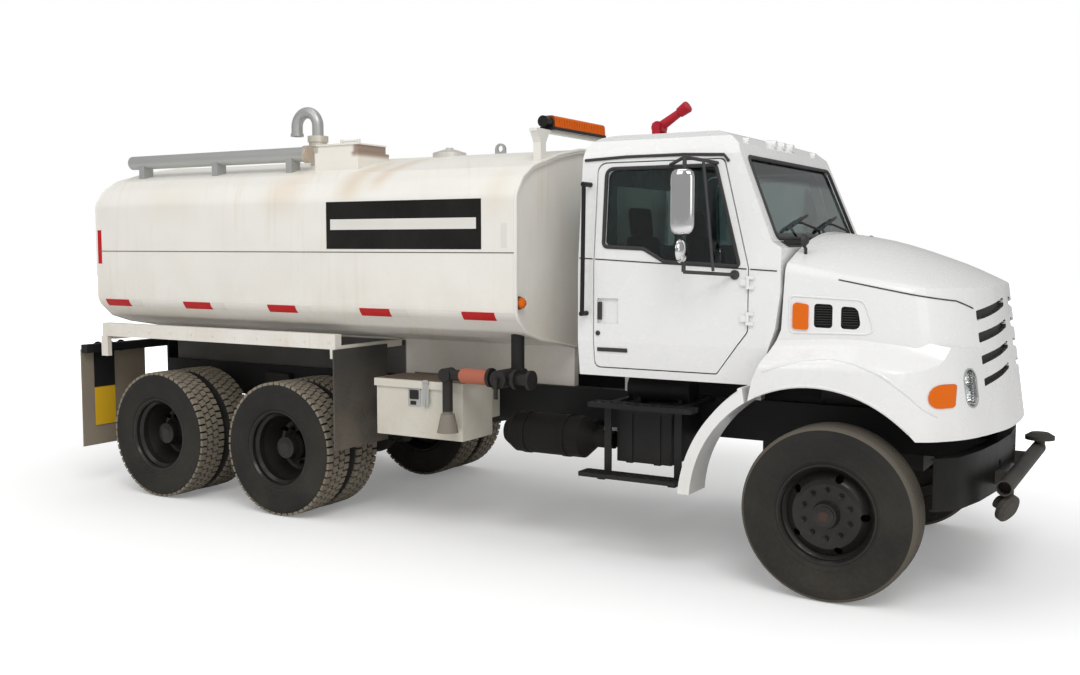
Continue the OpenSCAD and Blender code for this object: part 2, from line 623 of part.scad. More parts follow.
module side_valve() color([0.10, 0.10, 0.10]) place() difference() {
  y = -tank_half_w + 35;
  union() {
    bar_x(y, 1190, -2660, -1970, 38);
    bar_x(y, 1190, -2530, -2300, 52);
    for (x = [-2300, -2100, -1985]) bar_x(y, 1190, x - 12, x + 12, 66);
    bar_y(-2200, 1190, y - 77, y + 75, 62);
    bar_y(-2200, 1190, y, y + 185, 40);
    bar_x(y + 185, 1190, -2255, -2145, 54);
    translate([-2200, y + 185, 1190]) cylinder(h = tank_low_z + 245 - 1190, r = 46);
    span([-2212, y - 105, 1060], [-2188, y - 90, 1200]);
    bar_y(-2200, 1190, y - 95, y - 70, 16);
    translate([-2660, y, 900]) cylinder(h = 290, r = 36);
    bar_y(-2660, 1190, y - 49, y + 49, 47);
    translate([-2660, y, 785]) cylinder(h = 130, r1 = 76, r2 = 48);
  }
  tank_solid();
}

module light_bar() color([0.80, 0.36, 0.06]) place() difference() {
  x = tank_front_x - 55;
  union() {
    // Base, lens and end drum
    span([x - 55, -720, light_z], [x + 55, 75, light_z + 26]);
    along_y(-690, 70) polygon(round_poly([[x - 52, light_z + 24], [x + 52, light_z + 24], [x + 46, light_z + 105, 24], [x - 46, light_z + 105, 24]]));
    bar_y(x, light_z + 58, -775, -688, 40);
    // Flared post, arm and rear stay
    along_x(x - 30, x + 30) polygon([[-905, light_z - 2], [-720, light_z - 2], [-780, light_z - 90], [-780, light_z - 280],
      [-850, light_z - 280], [-850, light_z - 90]]);
    span([x - 30, -905, light_z - 18], [x + 30, 60, light_z + 2]);
    rod([x, 40, light_z - 10], [x, 60, light_z - 280], 14);
  }
  tank_solid();
}

module rear_fittings() color([0.14, 0.14, 0.14]) place() {
  span([tank_rear_x - 80, -rail_half_spread, rail_low_z], [tank_rear_x - 60, rail_half_spread, 1240]);
  span([tank_rear_x - 155, -tank_half_w - 70, 1170], [tank_rear_x - 80, tank_half_w + 70, 1240]);
  bar_y(tank_rear_x - 225, 720, -800, 800, 40);
  for (y = [-480, 0, 480]) spray_head(rear_end_x + 95, y, 720, false);
  for (y = [-300, 300]) span([tank_rear_x - 240, y - 25, 700], [tank_rear_x - 80, y + 25, 900]);
  each_side() span([tank_rear_x - 150, -tank_half_w + 50, 530], [tank_rear_x - 146, -tank_half_w + 260, 1170]);
  // Ladder up to the tank's roof
  for (y = [520, 880]) {
    translate([tank_rear_x - 110, y, 1240]) cylinder(h = tank_top_z - 65 - 1240, r = 18);
    for (z = [1500, tank_top_z - 385]) bar_x(y, z, tank_rear_x - 110, tank_rear_x + 22, 14);
  }
  for (z = [1330:280:tank_top_z - 85]) bar_y(tank_rear_x - 110, z, 520, 880, 14);
}

// Water monitor behind the cab

monitor_x = (cab_back_x + tank_front_x) / 2;
monitor_y = 640;
monitor_z = tank_top_z + 120;
module monitor_riser() color([0.82, 0.80, 0.76]) place() union() {
  translate([monitor_x, monitor_y, rail_top_z + 20]) cylinder(h = monitor_z - rail_top_z - 40, r = 57);
  translate([monitor_x, monitor_y, monitor_z - 20]) cylinder(h = 20, r = 105);
  span([monitor_x - 80, 350, rail_top_z], [monitor_x + 80, monitor_y + 80, rail_top_z + 20]);
}
module monitor_body() color([0.62, 0.08, 0.06]) place() translate([monitor_x, monitor_y, monitor_z + seat_gap]) union() {
  cylinder(h = 18, r = 95);
  cylinder(h = 46, r = 62);
  for (s = [-1, 1]) translate([-32, s > 0 ? 56 : -70, 20]) cube([64, 14, 110]);
  translate([-32, -70, 18]) cube([64, 140, 24]);
}
module monitor_nozzle() color([0.62, 0.08, 0.06]) place()
  translate([monitor_x, monitor_y, monitor_z + 100]) rotate([0, -32, 0]) union() {
    rotate([90, 0, 0]) cylinder(h = 96, r = 48, center = true);
    rotate([90, 0, 0]) cylinder(h = 111, r = 16, center = true);
    rotate([0, 90, 0]) cylinder(h = 210, r1 = 40, r2 = 30);
    translate([200, 0, 0]) rotate([0, 90, 0]) cylinder(h = 80, r1 = 40, r2 = 48);
    translate([278, 0, 0]) rotate([0, 90, 0]) cylinder(h = 14, r1 = 48, r2 = 40);
  }

// Hood

// x, half width of the flare, top of the flare, half width of the side, edge of the crown, crown
hood_stations = spline([
  [-600, flare_half_w - 20, 1400, hood_half_w + 6, 1990, 2205],
  [-300, flare_half_w - 5, 1410, hood_half_w + 2, 1950, 2175],
  [50, flare_half_w, 1430, hood_half_w, 1885, 2120],
  [400, flare_half_w - 20, 1400, hood_half_w - 15, 1835, 2010],
  [650, flare_half_w - 80, 1350, hood_half_w - 60, 1780, 1900],
  [960, flare_half_w - 170, 1300, hood_half_w - 150, 1690, 1720]], 3);

// Half sections, inset by w: the body up to its crown, and the flare below it
function body_half(s, w, low) =
  let (y = s[3] - w, z0 = s[4] + 14, rise = s[5] - z0)
  concat([[y, low]], corner([y, low], [y - 6, z0 - w * 0.9, 70], [y * 0.8, z0 + rise * 0.36 - w], 5),
    [for (k = [0.8, 0.64, 0.48, 0.32, 0.16, 0]) [y * k, z0 + rise * (1 - k * k) - w]]);
function flare_half(s, w, low) =
  let (y = s[1] - w, z = s[2] - w * 0.6)
  concat([[y, low]], corner([y, low], [y - 4, z - 28, 85], [s[3] + 40 - w, z + 50], 5),
    [[s[3] + 40 - w, z + 50], [s[3] + 12 - w, z + 82], [s[3] - 30 - w, z + 150], [0, z + 150]]);

function mirror_ring(h) = let (m = len(h)) concat(h, [for (i = [m - 2:-1:0]) [-h[i][0], h[i][1]]]);

// Solid through a half section at every station
module loft(halves) {
  rings = [for (i = [0:len(halves) - 1]) [for (q = mirror_ring(halves[i])) [hood_stations[i][0], q[0], q[1]]]];
  n = len(rings[0]);
  k = len(rings);
  polyhedron(
    points = [for (r = rings) each r],
    faces = concat(
      [[for (j = [0:n - 1]) j]],
      [[for (j = [n - 1:-1:0]) (k - 1) * n + j]],
      [for (i = [0:k - 2]) for (j = [0:n - 1]) let (a = i * n + j, b = i * n + (j + 1) % n) each [[a, a + n, b], [b, a + n, b + n]]]),
    convexity = 6);
}

// Plan outlines of the nose, leaning back with height
body_plan = spline([[0, 0], [-18, 330], [-76, 600], [-150, 780], [-245, 905], [-390, 985], [-700, 1030]], 3);
flare_plan = spline([[-30, 0], [-40, 330], [-66, 565], [-152, 850], [-258, 1015], [-385, 1120], [-700, 1210]], 3);
module nose(plan, w) translate([hood_nose_x - w, 0, 1070]) rotate([0, -8, 0]) translate([0, 0, -600]) linear_extrude(2200)
  polygon(concat([for (q = plan) [q[0], max(q[1] - w * 0.3, 0)]], [[-2400, 1300], [-2400, -1300]],
                 [for (i = [len(plan) - 1:-1:1]) [plan[i][0], -plan[i][1] + w * 0.3]]));

module hood_solid(w, low) union() {
  intersection() { loft([for (s = hood_stations) body_half(s, w, low)]); nose(body_plan, w); }
  intersection() { loft([for (s = hood_stations) flare_half(s, w, low)]); nose(flare_plan, w); }
}

module stadium(w, h) union() {
  for (s = [-1, 1]) translate([0, s * (h - w) / 2]) circle(d = w);
  square([w, h - w], center = true);
}

// Grille openings: top and bottom at the outer end, rise to the inner end, inner end
grille_rows = [[1704, 1645, 62, 95], [1575, 1517, 58, 95], [1441, 1390, 60, 110], [1308, 1264, 64, 150]];
function grille_pts(r) = let (e = (r[0] - r[1] - 6) * 0.42) round_poly([[-grille_half_w, r[1], 6], [-grille_half_w, r[0], 6],
  [-r[3], r[0] + r[2], e], [-r[3], r[1] + r[2] + 6, e]]);
marker_pts = round_poly([[-269, 1588, 14], [-174, 1584, 14], [-174, 1735, 14], [-269, 1749, 24]]);
signal_pts = round_poly([[540, 1166, 60], [662, 1172, 16], [662, 1303, 16], [540, 1306, 62]]);
signal_lens_pts = round_poly([[540.6, 1166.8, 59.5], [661.4, 1172.8, 15.5], [661.4, 1302.2, 15.5], [540.6, 1305.2, 61.5]]);
lamp_y = 778;
lamp_z = 1269;
lamp_w = 122;
lamp_h = 212;

module hood() color([0.92, 0.91, 0.88]) place() union() { hood_moulding(); hood_lugs(); }
module hood_lugs() each_side() {
  difference() {
    span([hood_hinge_x - 20, -395 + seat_gap, hood_hinge_z - 15], [hood_hinge_x + 45, -375, hood_hinge_z + 60]);
    translate([hood_nose_x - 8, -500, 900]) cube([200, 300, 300]);
  }
  bar_y(hood_hinge_x, hood_hinge_z, -415, -375, 12);
}
module hood_moulding() difference() {
  intersection() {
    hood_solid(0, 900);
    along_y(-1300, 1300) polygon([[-317, 2400], [-317, 2028], [-340, 1578], [-466, 1280], [-492, 1150], [-480, hood_low_z],
                                  [1200, hood_low_z], [1200, 2400]]);
  }
  hood_solid(hood_wall, 700);
  along_y(-1300, 1300) translate([-100, 500]) circle(r = arch_r, $fn = 120);
  // Grille openings
  for (r = grille_rows) along_x(600, 1000) { polygon(grille_pts(r)); mirror([1, 0]) polygon(grille_pts(r)); }
  // Vents in the sides
  for (s = [-1, 1]) along_y(s > 0 ? 900 : -1100, s > 0 ? 1100 : -900) {
    polygon(round_poly([[-141, 1600, 20], [-31, 1598, 20], [-31, 1738, 20], [-141, 1742, 20]]));
    polygon(round_poly([[19, 1598, 20], [139, 1594, 36], [115, 1724, 40], [19, 1730, 20]]));
  }
  // Lamp seats
  for (s = [-1, 1]) {
    along_x(500, 900) translate([s * lamp_y, lamp_z]) stadium(lamp_w, lamp_h);
    along_y(s > 0 ? 850 : -1300, s > 0 ? 1300 : -850) polygon(signal_pts);
  }
}

module grille_screen() color([0.05, 0.05, 0.05]) place() intersection() {
  difference() { hood_solid(hood_wall + seat_gap, 700); hood_solid(hood_wall + 14, 600); }
  span([600, -grille_half_w - 15, 1235], [1000, grille_half_w + 15, 1790]);
}

module head_lamps() color([0.80, 0.82, 0.84]) place() intersection() {
  difference() { hood_solid(4, 900); hood_solid(hood_wall, 800); }
  for (s = [-1, 1]) along_x(500, 900) translate([s * lamp_y, lamp_z]) stadium(lamp_w - 1, lamp_h - 1);
}

module amber_lamps() color([0.85, 0.34, 0.04]) place() for (s = [-1, 1]) {
  intersection() {
    difference() { hood_solid(-6, 900); hood_solid(hood_wall, 800); }
    along_y(s > 0 ? 850 : -1300, s > 0 ? 1300 : -850) polygon(signal_lens_pts);
  }
  difference() {
    intersection() {
      hood_solid(-10, 900);
      along_y(s > 0 ? 900 : -1100, s > 0 ? 1100 : -900) polygon(marker_pts);
    }
    hood_solid(0, 900);
  }
}

// Doors

module door_panel(side) place() difference() {
  intersection() {
    cab_shell();
    along_y(side < 0 ? -1400 : 700, side < 0 ? -700 : 1400) polygon(door_pts(0));
  }
  along_y(-1400, 1400) polygon(window_pts(0));
  // Pocket of the door handle
  on_side(side) span([-1578, -1100, 1576], [-1424, -cab_half_w + 18, 1741]);
}
// Moving halves of the hinges
module door_hinges(side) place() on_side(side) for (z = [1640, 1860]) difference() {
  union() {
    translate([door_hinge_x, door_hinge_y, z - 20 + seat_gap]) cylinder(h = 40 - 2 * seat_gap, r = 11);
    span([door_hinge_x - 45, door_hinge_y - 5, z - 20 + seat_gap], [door_hinge_x, -cab_half_w + 10, z + 20 - seat_gap]);
  }
  translate([door_hinge_x, door_hinge_y, z - 50]) cylinder(h = 100, r = 5 + seat_gap);
  span([door_hinge_x - 5, -cab_half_w - 1, z - 60], [door_hinge_x + 30, -cab_half_w + 40, z + 60]);
}
module door_pane(side) place() intersection() {
  difference() { cab_solid(18); cab_solid(24); }
  along_y(side < 0 ? -1400 : 700, side < 0 ? -700 : 1400) polygon(window_pts(-seat_gap));
}
module mirror_set(side) place() on_side(side) difference() {
  union() {
    along_z(2136, 2526) polygon(round_poly([[-940, -cab_half_w - 300, 20], [-790, -cab_half_w - 300, 20],
      [-790, -cab_half_w - 238, 26], [-940, -cab_half_w - 238, 26]]));
    along_z(2122, 2540) polygon(round_poly([[-926, -cab_half_w - 290, 14], [-804, -cab_half_w - 290, 14],
      [-804, -cab_half_w - 248, 14], [-926, -cab_half_w - 248, 14]]));
    rod([-865, -cab_half_w - 242, 1925], [-865, -cab_half_w - 242, 2610], 12);
    rod([-865, -cab_half_w - 242, 2610], [-865, -gutter_half_w + 55, 2590], 12.5);
    rod([-865, -cab_half_w - 242, 1925], [-640, -cab_half_w + 70, 1905], 12.5);
    rod([-865, -cab_half_w - 242, 2610], [-1090, -gutter_half_w + 55, 2590], 10);
    translate([-865, -cab_half_w - 242, 2610]) sphere(r = 14);
    translate([-865, -cab_half_w - 242, 1925]) sphere(r = 14);
    translate([-865, -cab_half_w - 270, 2050]) rotate([0, 90, 0]) cylinder(h = 40, r = 74, center = true);
  }
  cab_solid(0);
}
module door_right() color([0.92, 0.91, 0.88]) union() { door_panel(-1); door_hinges(-1); }
module door_left() color([0.92, 0.91, 0.88]) union() { door_panel(1); door_hinges(1); }
module door_glass_right() color([0.16, 0.19, 0.20]) door_pane(-1);
module door_glass_left() color([0.16, 0.19, 0.20]) door_pane(1);
module mirror_right() color([0.72, 0.72, 0.72]) mirror_set(-1);
module mirror_left() color([0.72, 0.72, 0.72]) mirror_set(1);

// Wheels

// Puts a wheel drawn about Z, outer face up, on the axle of one side
module wheel_at(x, y, side) place() translate([x, side * y, axle_z]) rotate([side < 0 ? 90 : -90, 0, 0]) children();

tyre_r = tyre_d / 2;
rim_r = rim_d / 2;
module tyre_ring(grooves) rotate_extrude($fn = 96) difference() {
  polygon(round_poly([
    [rim_r - 12 + seat_gap, -rim_w / 2 + 13], [rim_r + 1, -rim_w / 2 + 13], [rim_r + 1, -rim_w / 2],
    [rim_r + 30, -tyre_w / 2 + 8], [rim_r + 105, -tyre_w / 2, 30], [tyre_r - 48, -tyre_w / 2 + 6], [tyre_r - 6, -tyre_w / 2 + 20, 14],
    [tyre_r, -tyre_w / 2 + 46], [tyre_r, tyre_w / 2 - 46], [tyre_r - 6, tyre_w / 2 - 20, 14], [tyre_r - 48, tyre_w / 2 - 6],
    [rim_r + 105, tyre_w / 2, 30], [rim_r + 30, tyre_w / 2 - 8], [rim_r + 1, rim_w / 2],
    [rim_r + 1, rim_w / 2 - 13], [rim_r - 12 + seat_gap, rim_w / 2 - 13]], 3));
  for (s = grooves) translate([tyre_r - 15, s - 5]) square([20, 10]);
}

// Rim barrel from flange to flange, drawn as a half section
module rim_section() polygon([
  [rim_r, -rim_w / 2], [rim_r, -rim_w / 2 + 12], [rim_r - 12, -rim_w / 2 + 12], [rim_r - 12, -rim_w / 2 + 50],
  [rim_r - 34, -rim_w / 2 + 70], [rim_r - 34, rim_w / 2 - 70], [rim_r - 12, rim_w / 2 - 50], [rim_r - 12, rim_w / 2 - 12],
  [rim_r, rim_w / 2 - 12], [rim_r, rim_w / 2], [rim_r - 12, rim_w / 2], [rim_r - 24, rim_w / 2 - 14], [rim_r - 24, rim_w / 2 - 46],
  [rim_r - 46, rim_w / 2 - 66], [rim_r - 46, -rim_w / 2 + 66], [rim_r - 24, -rim_w / 2 + 46], [rim_r - 24, -rim_w / 2 + 14], [rim_r - 12, -rim_w / 2]]);

module nuts(z, h) for (i = [0:nut_count - 1]) rotate([0, 0, 360 * i / nut_count + 18])
  translate([nut_circle_d / 2, 0, z]) { cylinder(h = h, r = 17, $fn = 6); cylinder(h = h + 12, r = 10); }

module front_wheel() difference() {
  union() {
    rotate_extrude($fn = 96) union() {
      rim_section();
      polygon([[rim_r - 40, 20], [rim_r - 40, 44], [205, 92], [180, 98], [60, 98], [60, 84], [176, 84], [198, 78], [rim_r - 50, 24]]);
      polygon([[46 + seat_gap, -90], [110, -90], [110, 60], [90, 84], [78, 110], [72, 150], [46 + seat_gap, 150]]);
      polygon([[0, 134], [60, 134], [60, 158], [30, 166], [0, 166]]);
      polygon([[150, -120], [212, -120], [212, -10], [200, -4], [100, -4], [100, -16], [150, -20]]);
    }
    nuts(92, 30);
  }
  for (i = [0:4]) rotate([0, 0, 72 * i]) translate([222, 0, 20]) cylinder(h = 120, r = 24);
}
module dual_wheels() difference() {
  union() {
    // Outer and inner rims about the middle of the pair
    rotate_extrude($fn = 96) union() {
      translate([0, dual_spacing / 2]) rim_section();
      translate([0, -dual_spacing / 2]) rim_section();
      polygon([[rim_r - 46, dual_spacing / 2 - 24], [rim_r - 46, dual_spacing / 2], [200, 26], [180, 16], [60, 16], [60, -16], [180, -16],
               [200, -26], [rim_r - 46, -dual_spacing / 2], [rim_r - 46, -dual_spacing / 2 + 24], [214, -6], [214, 6]]);
      polygon([[48 + seat_gap, -150], [110, -150], [110, 110], [92, 140], [84, 190], [48 + seat_gap, 190]]);
      polygon([[0, 176], [84, 176], [84, 196], [40, 206], [0, 206]]);
      polygon([[120, -240], [205, -240], [205, -150], [100, -150], [100, -165], [120, -165]]);
    }
    nuts(10, 32);
  }
  for (i = [0:4]) rotate([0, 0, 72 * i]) translate([190, 0, -100]) cylinder(h = 200, r = 22);
}

front_ribs = [-62, -21, 21, 62];
dual_y = rear_tyre_y - dual_spacing / 2;
module tyre_front_right() color([0.07, 0.07, 0.07]) wheel_at(0, front_tyre_y, -1) tyre_ring(front_ribs);
module tyre_front_left() color([0.07, 0.07, 0.07]) wheel_at(0, front_tyre_y, 1) tyre_ring(front_ribs);
module wheel_front_right() color([0.08, 0.08, 0.08]) wheel_at(0, front_tyre_y, -1) front_wheel();
module wheel_front_left() color([0.08, 0.08, 0.08]) wheel_at(0, front_tyre_y, 1) front_wheel();
module dual_tyres() for (s = [-1, 1]) translate([0, 0, s * dual_spacing / 2]) tyre_ring([-45, 45]);
module tyres_mid_right() color([0.07, 0.07, 0.07]) wheel_at(axle_1_x, dual_y, -1) dual_tyres();
module tyres_mid_left() color([0.07, 0.07, 0.07]) wheel_at(axle_1_x, dual_y, 1) dual_tyres();
module tyres_rear_right() color([0.07, 0.07, 0.07]) wheel_at(axle_2_x, dual_y, -1) dual_tyres();
module tyres_rear_left() color([0.07, 0.07, 0.07]) wheel_at(axle_2_x, dual_y, 1) dual_tyres();
module wheels_mid_right() color([0.08, 0.08, 0.08]) wheel_at(axle_1_x, dual_y, -1) dual_wheels();
module wheels_mid_left() color([0.08, 0.08, 0.08]) wheel_at(axle_1_x, dual_y, 1) dual_wheels();
module wheels_rear_right() color([0.08, 0.08, 0.08]) wheel_at(axle_2_x, dual_y, -1) dual_wheels();
module wheels_rear_left() color([0.08, 0.08, 0.08]) wheel_at(axle_2_x, dual_y, 1) dual_wheels();

// Steering knuckle: fork around the axle's end, kingpin and spindle
module knuckle(side) place() translate([0, side * kingpin_y, axle_z]) rotate([0, 0, side < 0 ? 0 : 180]) union() {
  translate([0, 0, -95]) cylinder(h = 190, r = 24);
  for (z = [-95, 60]) {
    translate([0, 0, z]) cylinder(h = 35, r = 48);
    translate([-48, -72, z]) cube([96, 72, 35]);
  }
  translate([-70, -82, -95]) cube([140, 20, 190]);
  translate([0, -62, 0]) rotate([90, 0, 0]) cylinder(h = 240, r = 46);
}
module knuckle_right() color([0.10, 0.10, 0.10]) knuckle(-1);
module knuckle_left() color([0.10, 0.10, 0.10]) knuckle(1);

frame_rails();
crossmembers();
engine();
radiator();
front_axle();
rear_axles();
driveline();
muffler();
fuel_tank();
cab_steps();
cab_body();
cab_roof();
cab_glass();
dashboard();
seats();
cab_skirts();
grab_handles();
bumper();
spray_bar();
tank();
tank_sills();
rear_fenders();
mudflaps();
tank_pipes();
hatch();
hatch_lid();
toolbox();
toolbox_lid();
side_valve();
light_bar();
rear_fittings();
monitor_riser();
monitor_body();
monitor_nozzle();
hood();
grille_screen();
head_lamps();
amber_lamps();
door_right();
door_glass_right();
mirror_right();
door_left();
door_glass_left();
mirror_left();
knuckle_right();
knuckle_left();
tyre_front_right();
wheel_front_right();
tyre_front_left();
wheel_front_left();
tyres_mid_right();
wheels_mid_right();
tyres_mid_left();
wheels_mid_left();
tyres_rear_right();
wheels_rear_right();
tyres_rear_left();
wheels_rear_left();
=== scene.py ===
"""Looks of a three-axle water truck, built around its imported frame.

Metres, +X forward, +Y the driver's left, +Z up. Sizes in the classes are measured from the front axle;
Datum.at() moves them to the part's own origin.
"""

from __future__ import annotations

import json
import logging
import math
from abc import ABC, abstractmethod
from dataclasses import dataclass, field
from enum import Enum
from typing import Optional, Sequence

import bmesh
import bpy
from mathutils import Matrix, Vector
from mathutils.bvhtree import BVHTree

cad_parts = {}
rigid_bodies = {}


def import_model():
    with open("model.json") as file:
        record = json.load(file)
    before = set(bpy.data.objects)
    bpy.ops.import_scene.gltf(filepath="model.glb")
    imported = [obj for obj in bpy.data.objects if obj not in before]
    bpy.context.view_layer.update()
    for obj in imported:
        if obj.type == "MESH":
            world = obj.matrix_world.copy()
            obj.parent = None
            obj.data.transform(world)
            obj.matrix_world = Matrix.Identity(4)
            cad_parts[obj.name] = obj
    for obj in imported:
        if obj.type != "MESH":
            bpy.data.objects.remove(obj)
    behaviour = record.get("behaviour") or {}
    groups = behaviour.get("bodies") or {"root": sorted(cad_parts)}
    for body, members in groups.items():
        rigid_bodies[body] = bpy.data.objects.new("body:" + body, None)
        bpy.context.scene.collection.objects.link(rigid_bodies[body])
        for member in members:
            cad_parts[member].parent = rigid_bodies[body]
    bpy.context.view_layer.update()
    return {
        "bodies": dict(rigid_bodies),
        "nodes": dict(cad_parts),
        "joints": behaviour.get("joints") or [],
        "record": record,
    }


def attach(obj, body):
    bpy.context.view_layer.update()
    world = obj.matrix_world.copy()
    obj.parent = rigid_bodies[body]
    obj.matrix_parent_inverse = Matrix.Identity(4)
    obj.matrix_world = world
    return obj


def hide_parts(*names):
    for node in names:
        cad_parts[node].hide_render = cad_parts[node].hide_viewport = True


log = logging.getLogger("water_truck")

Colour = tuple[float, float, float]
Point = tuple[float, float, float]


class Axis(Enum):
    """Directions that a surface is felt from."""

    FROM_RIGHT = (0.0, 1.0, 0.0)
    FROM_LEFT = (0.0, -1.0, 0.0)
    FROM_FRONT = (-1.0, 0.0, 0.0)
    FROM_BACK = (1.0, 0.0, 0.0)
    FROM_TOP = (0.0, 0.0, -1.0)


class Side(Enum):
    """The truck's two sides, with the sign of their Y."""

    RIGHT = -1
    LEFT = 1

    @property
    def word(self) -> str:
        """Name used in nodes and bodies."""
        return self.name.lower()

    @property
    def axis(self) -> Axis:
        """The direction that this side's surface is felt from."""
        return Axis.FROM_RIGHT if self is Side.RIGHT else Axis.FROM_LEFT


@dataclass(frozen=True)
class Datum:
    """Place of the front axle in the part's frame, and of the wheels from it."""

    shift: float = 2.765
    axle_z: float = 0.52
    mid_axle: float = -4.25
    rear_axle: float = -5.58
    front_y: float = 1.050
    pair_y: float = 0.915

    def at(self, x: float, y: float, z: float) -> Vector:
        """A point given from the front axle, in the part's frame."""
        return Vector((x + self.shift, y, z))


DATUM = Datum()


class Graph:
    """Short-hand for building a node tree."""

    def __init__(self, tree: bpy.types.NodeTree) -> None:
        """Keeps the tree that nodes are added to."""
        self.tree = tree

    def add(self, kind: str, **settings: object) -> bpy.types.Node:
        """Adds a node and sets its properties and inputs.

        Args:
            kind: The node's Blender type name.
            settings: Properties, or inputs by name with spaces written as underscores.

        Returns:
            The new node.
        """
        node = self.tree.nodes.new(kind)
        for key, value in settings.items():
            if hasattr(node, key):
                setattr(node, key, value)
        for key, value in settings.items():
            if not hasattr(node, key):
                self.feed(node, key.replace("_", " "), value)
        return node

    def feed(self, node: bpy.types.Node, name: str | int, value: object) -> None:
        """Links a socket to an input, or sets the input's value.

        Args:
            node: The node.
            name: The input's name or number.
            value: A socket to link, or a value to set.
        """
        socket = node.inputs[name]
        if isinstance(value, bpy.types.NodeSocket):
            self.tree.links.new(value, socket)
        else:
            socket.default_value = value

    def math(self, what: str, a: object, b: object = 0.0, clamp: bool = False) -> bpy.types.NodeSocket:
        """A Math node on two numbers or sockets.

        Args:
            what: The operation.
            a: First number or socket.
            b: Second number or socket.
            clamp: Whether the result stays between 0 and 1.

        Returns:
            The result's socket.
        """
        node = self.add("ShaderNodeMath", operation=what, use_clamp=clamp)
        self.feed(node, 0, a)
        self.feed(node, 1, b)
        return node.outputs[0]

    def mix(self, factor: object, a: object, b: object) -> bpy.types.NodeSocket:
        """A colour mix of two colours or sockets.

        Args:
            factor: Share of the second colour.
            a: First colour or socket.
            b: Second colour or socket.

        Returns:
            The mixed colour's socket.
        """
        node = self.add("ShaderNodeMix", data_type="RGBA")
        self.feed(node, 0, factor)
        self.feed(node, 6, a if isinstance(a, bpy.types.NodeSocket) else (*a, 1.0))
        self.feed(node, 7, b if isinstance(b, bpy.types.NodeSocket) else (*b, 1.0))
        return node.outputs[2]

    def place(self) -> bpy.types.NodeSocket:
        """Object coordinates."""
        return self.add("ShaderNodeTexCoord").outputs["Object"]

    def ramp(self, value: bpy.types.NodeSocket, low: object, high: object) -> bpy.types.NodeSocket:
        """A smooth step of a value from low to high, which are numbers or sockets.

        Args:
            value: The value.
            low: Where the step starts.
            high: Where it ends.

        Returns:
            The step's socket, from 0 to 1.
        """
        node = self.add("ShaderNodeMapRange", interpolation_type="SMOOTHSTEP", clamp=True)
        for index, item in enumerate((value, low, high, 0.0, 1.0)):
            self.feed(node, index, item)
        return node.outputs[0]

    def noise(self, vector: bpy.types.NodeSocket, scale: object, detail: float,
              roughness: float = 0.5) -> bpy.types.NodeSocket:
        """Value of a noise texture."""
        return self.add("ShaderNodeTexNoise", Vector=vector, Scale=scale, Detail=detail,
                        Roughness=roughness).outputs["Fac"]

    def seen(self) -> bpy.types.NodeSocket:
        """One for rays that the camera sends, straight or through glass."""
        path = self.add("ShaderNodeLightPath")
        return self.math("ADD", path.outputs["Is Camera Ray"], path.outputs["Is Transmission Ray"], True)


def start_material(name: str) -> tuple[bpy.types.Material, Graph, bpy.types.Node]:
    """A new material with the graph of its nodes and its Principled shader.

    Args:
        name: The material's name.

    Returns:
        The material, its graph and its shader.
    """
    material = bpy.data.materials.new(name)
    material.use_nodes = True
    return material, Graph(material.node_tree), material.node_tree.nodes["Principled BSDF"]


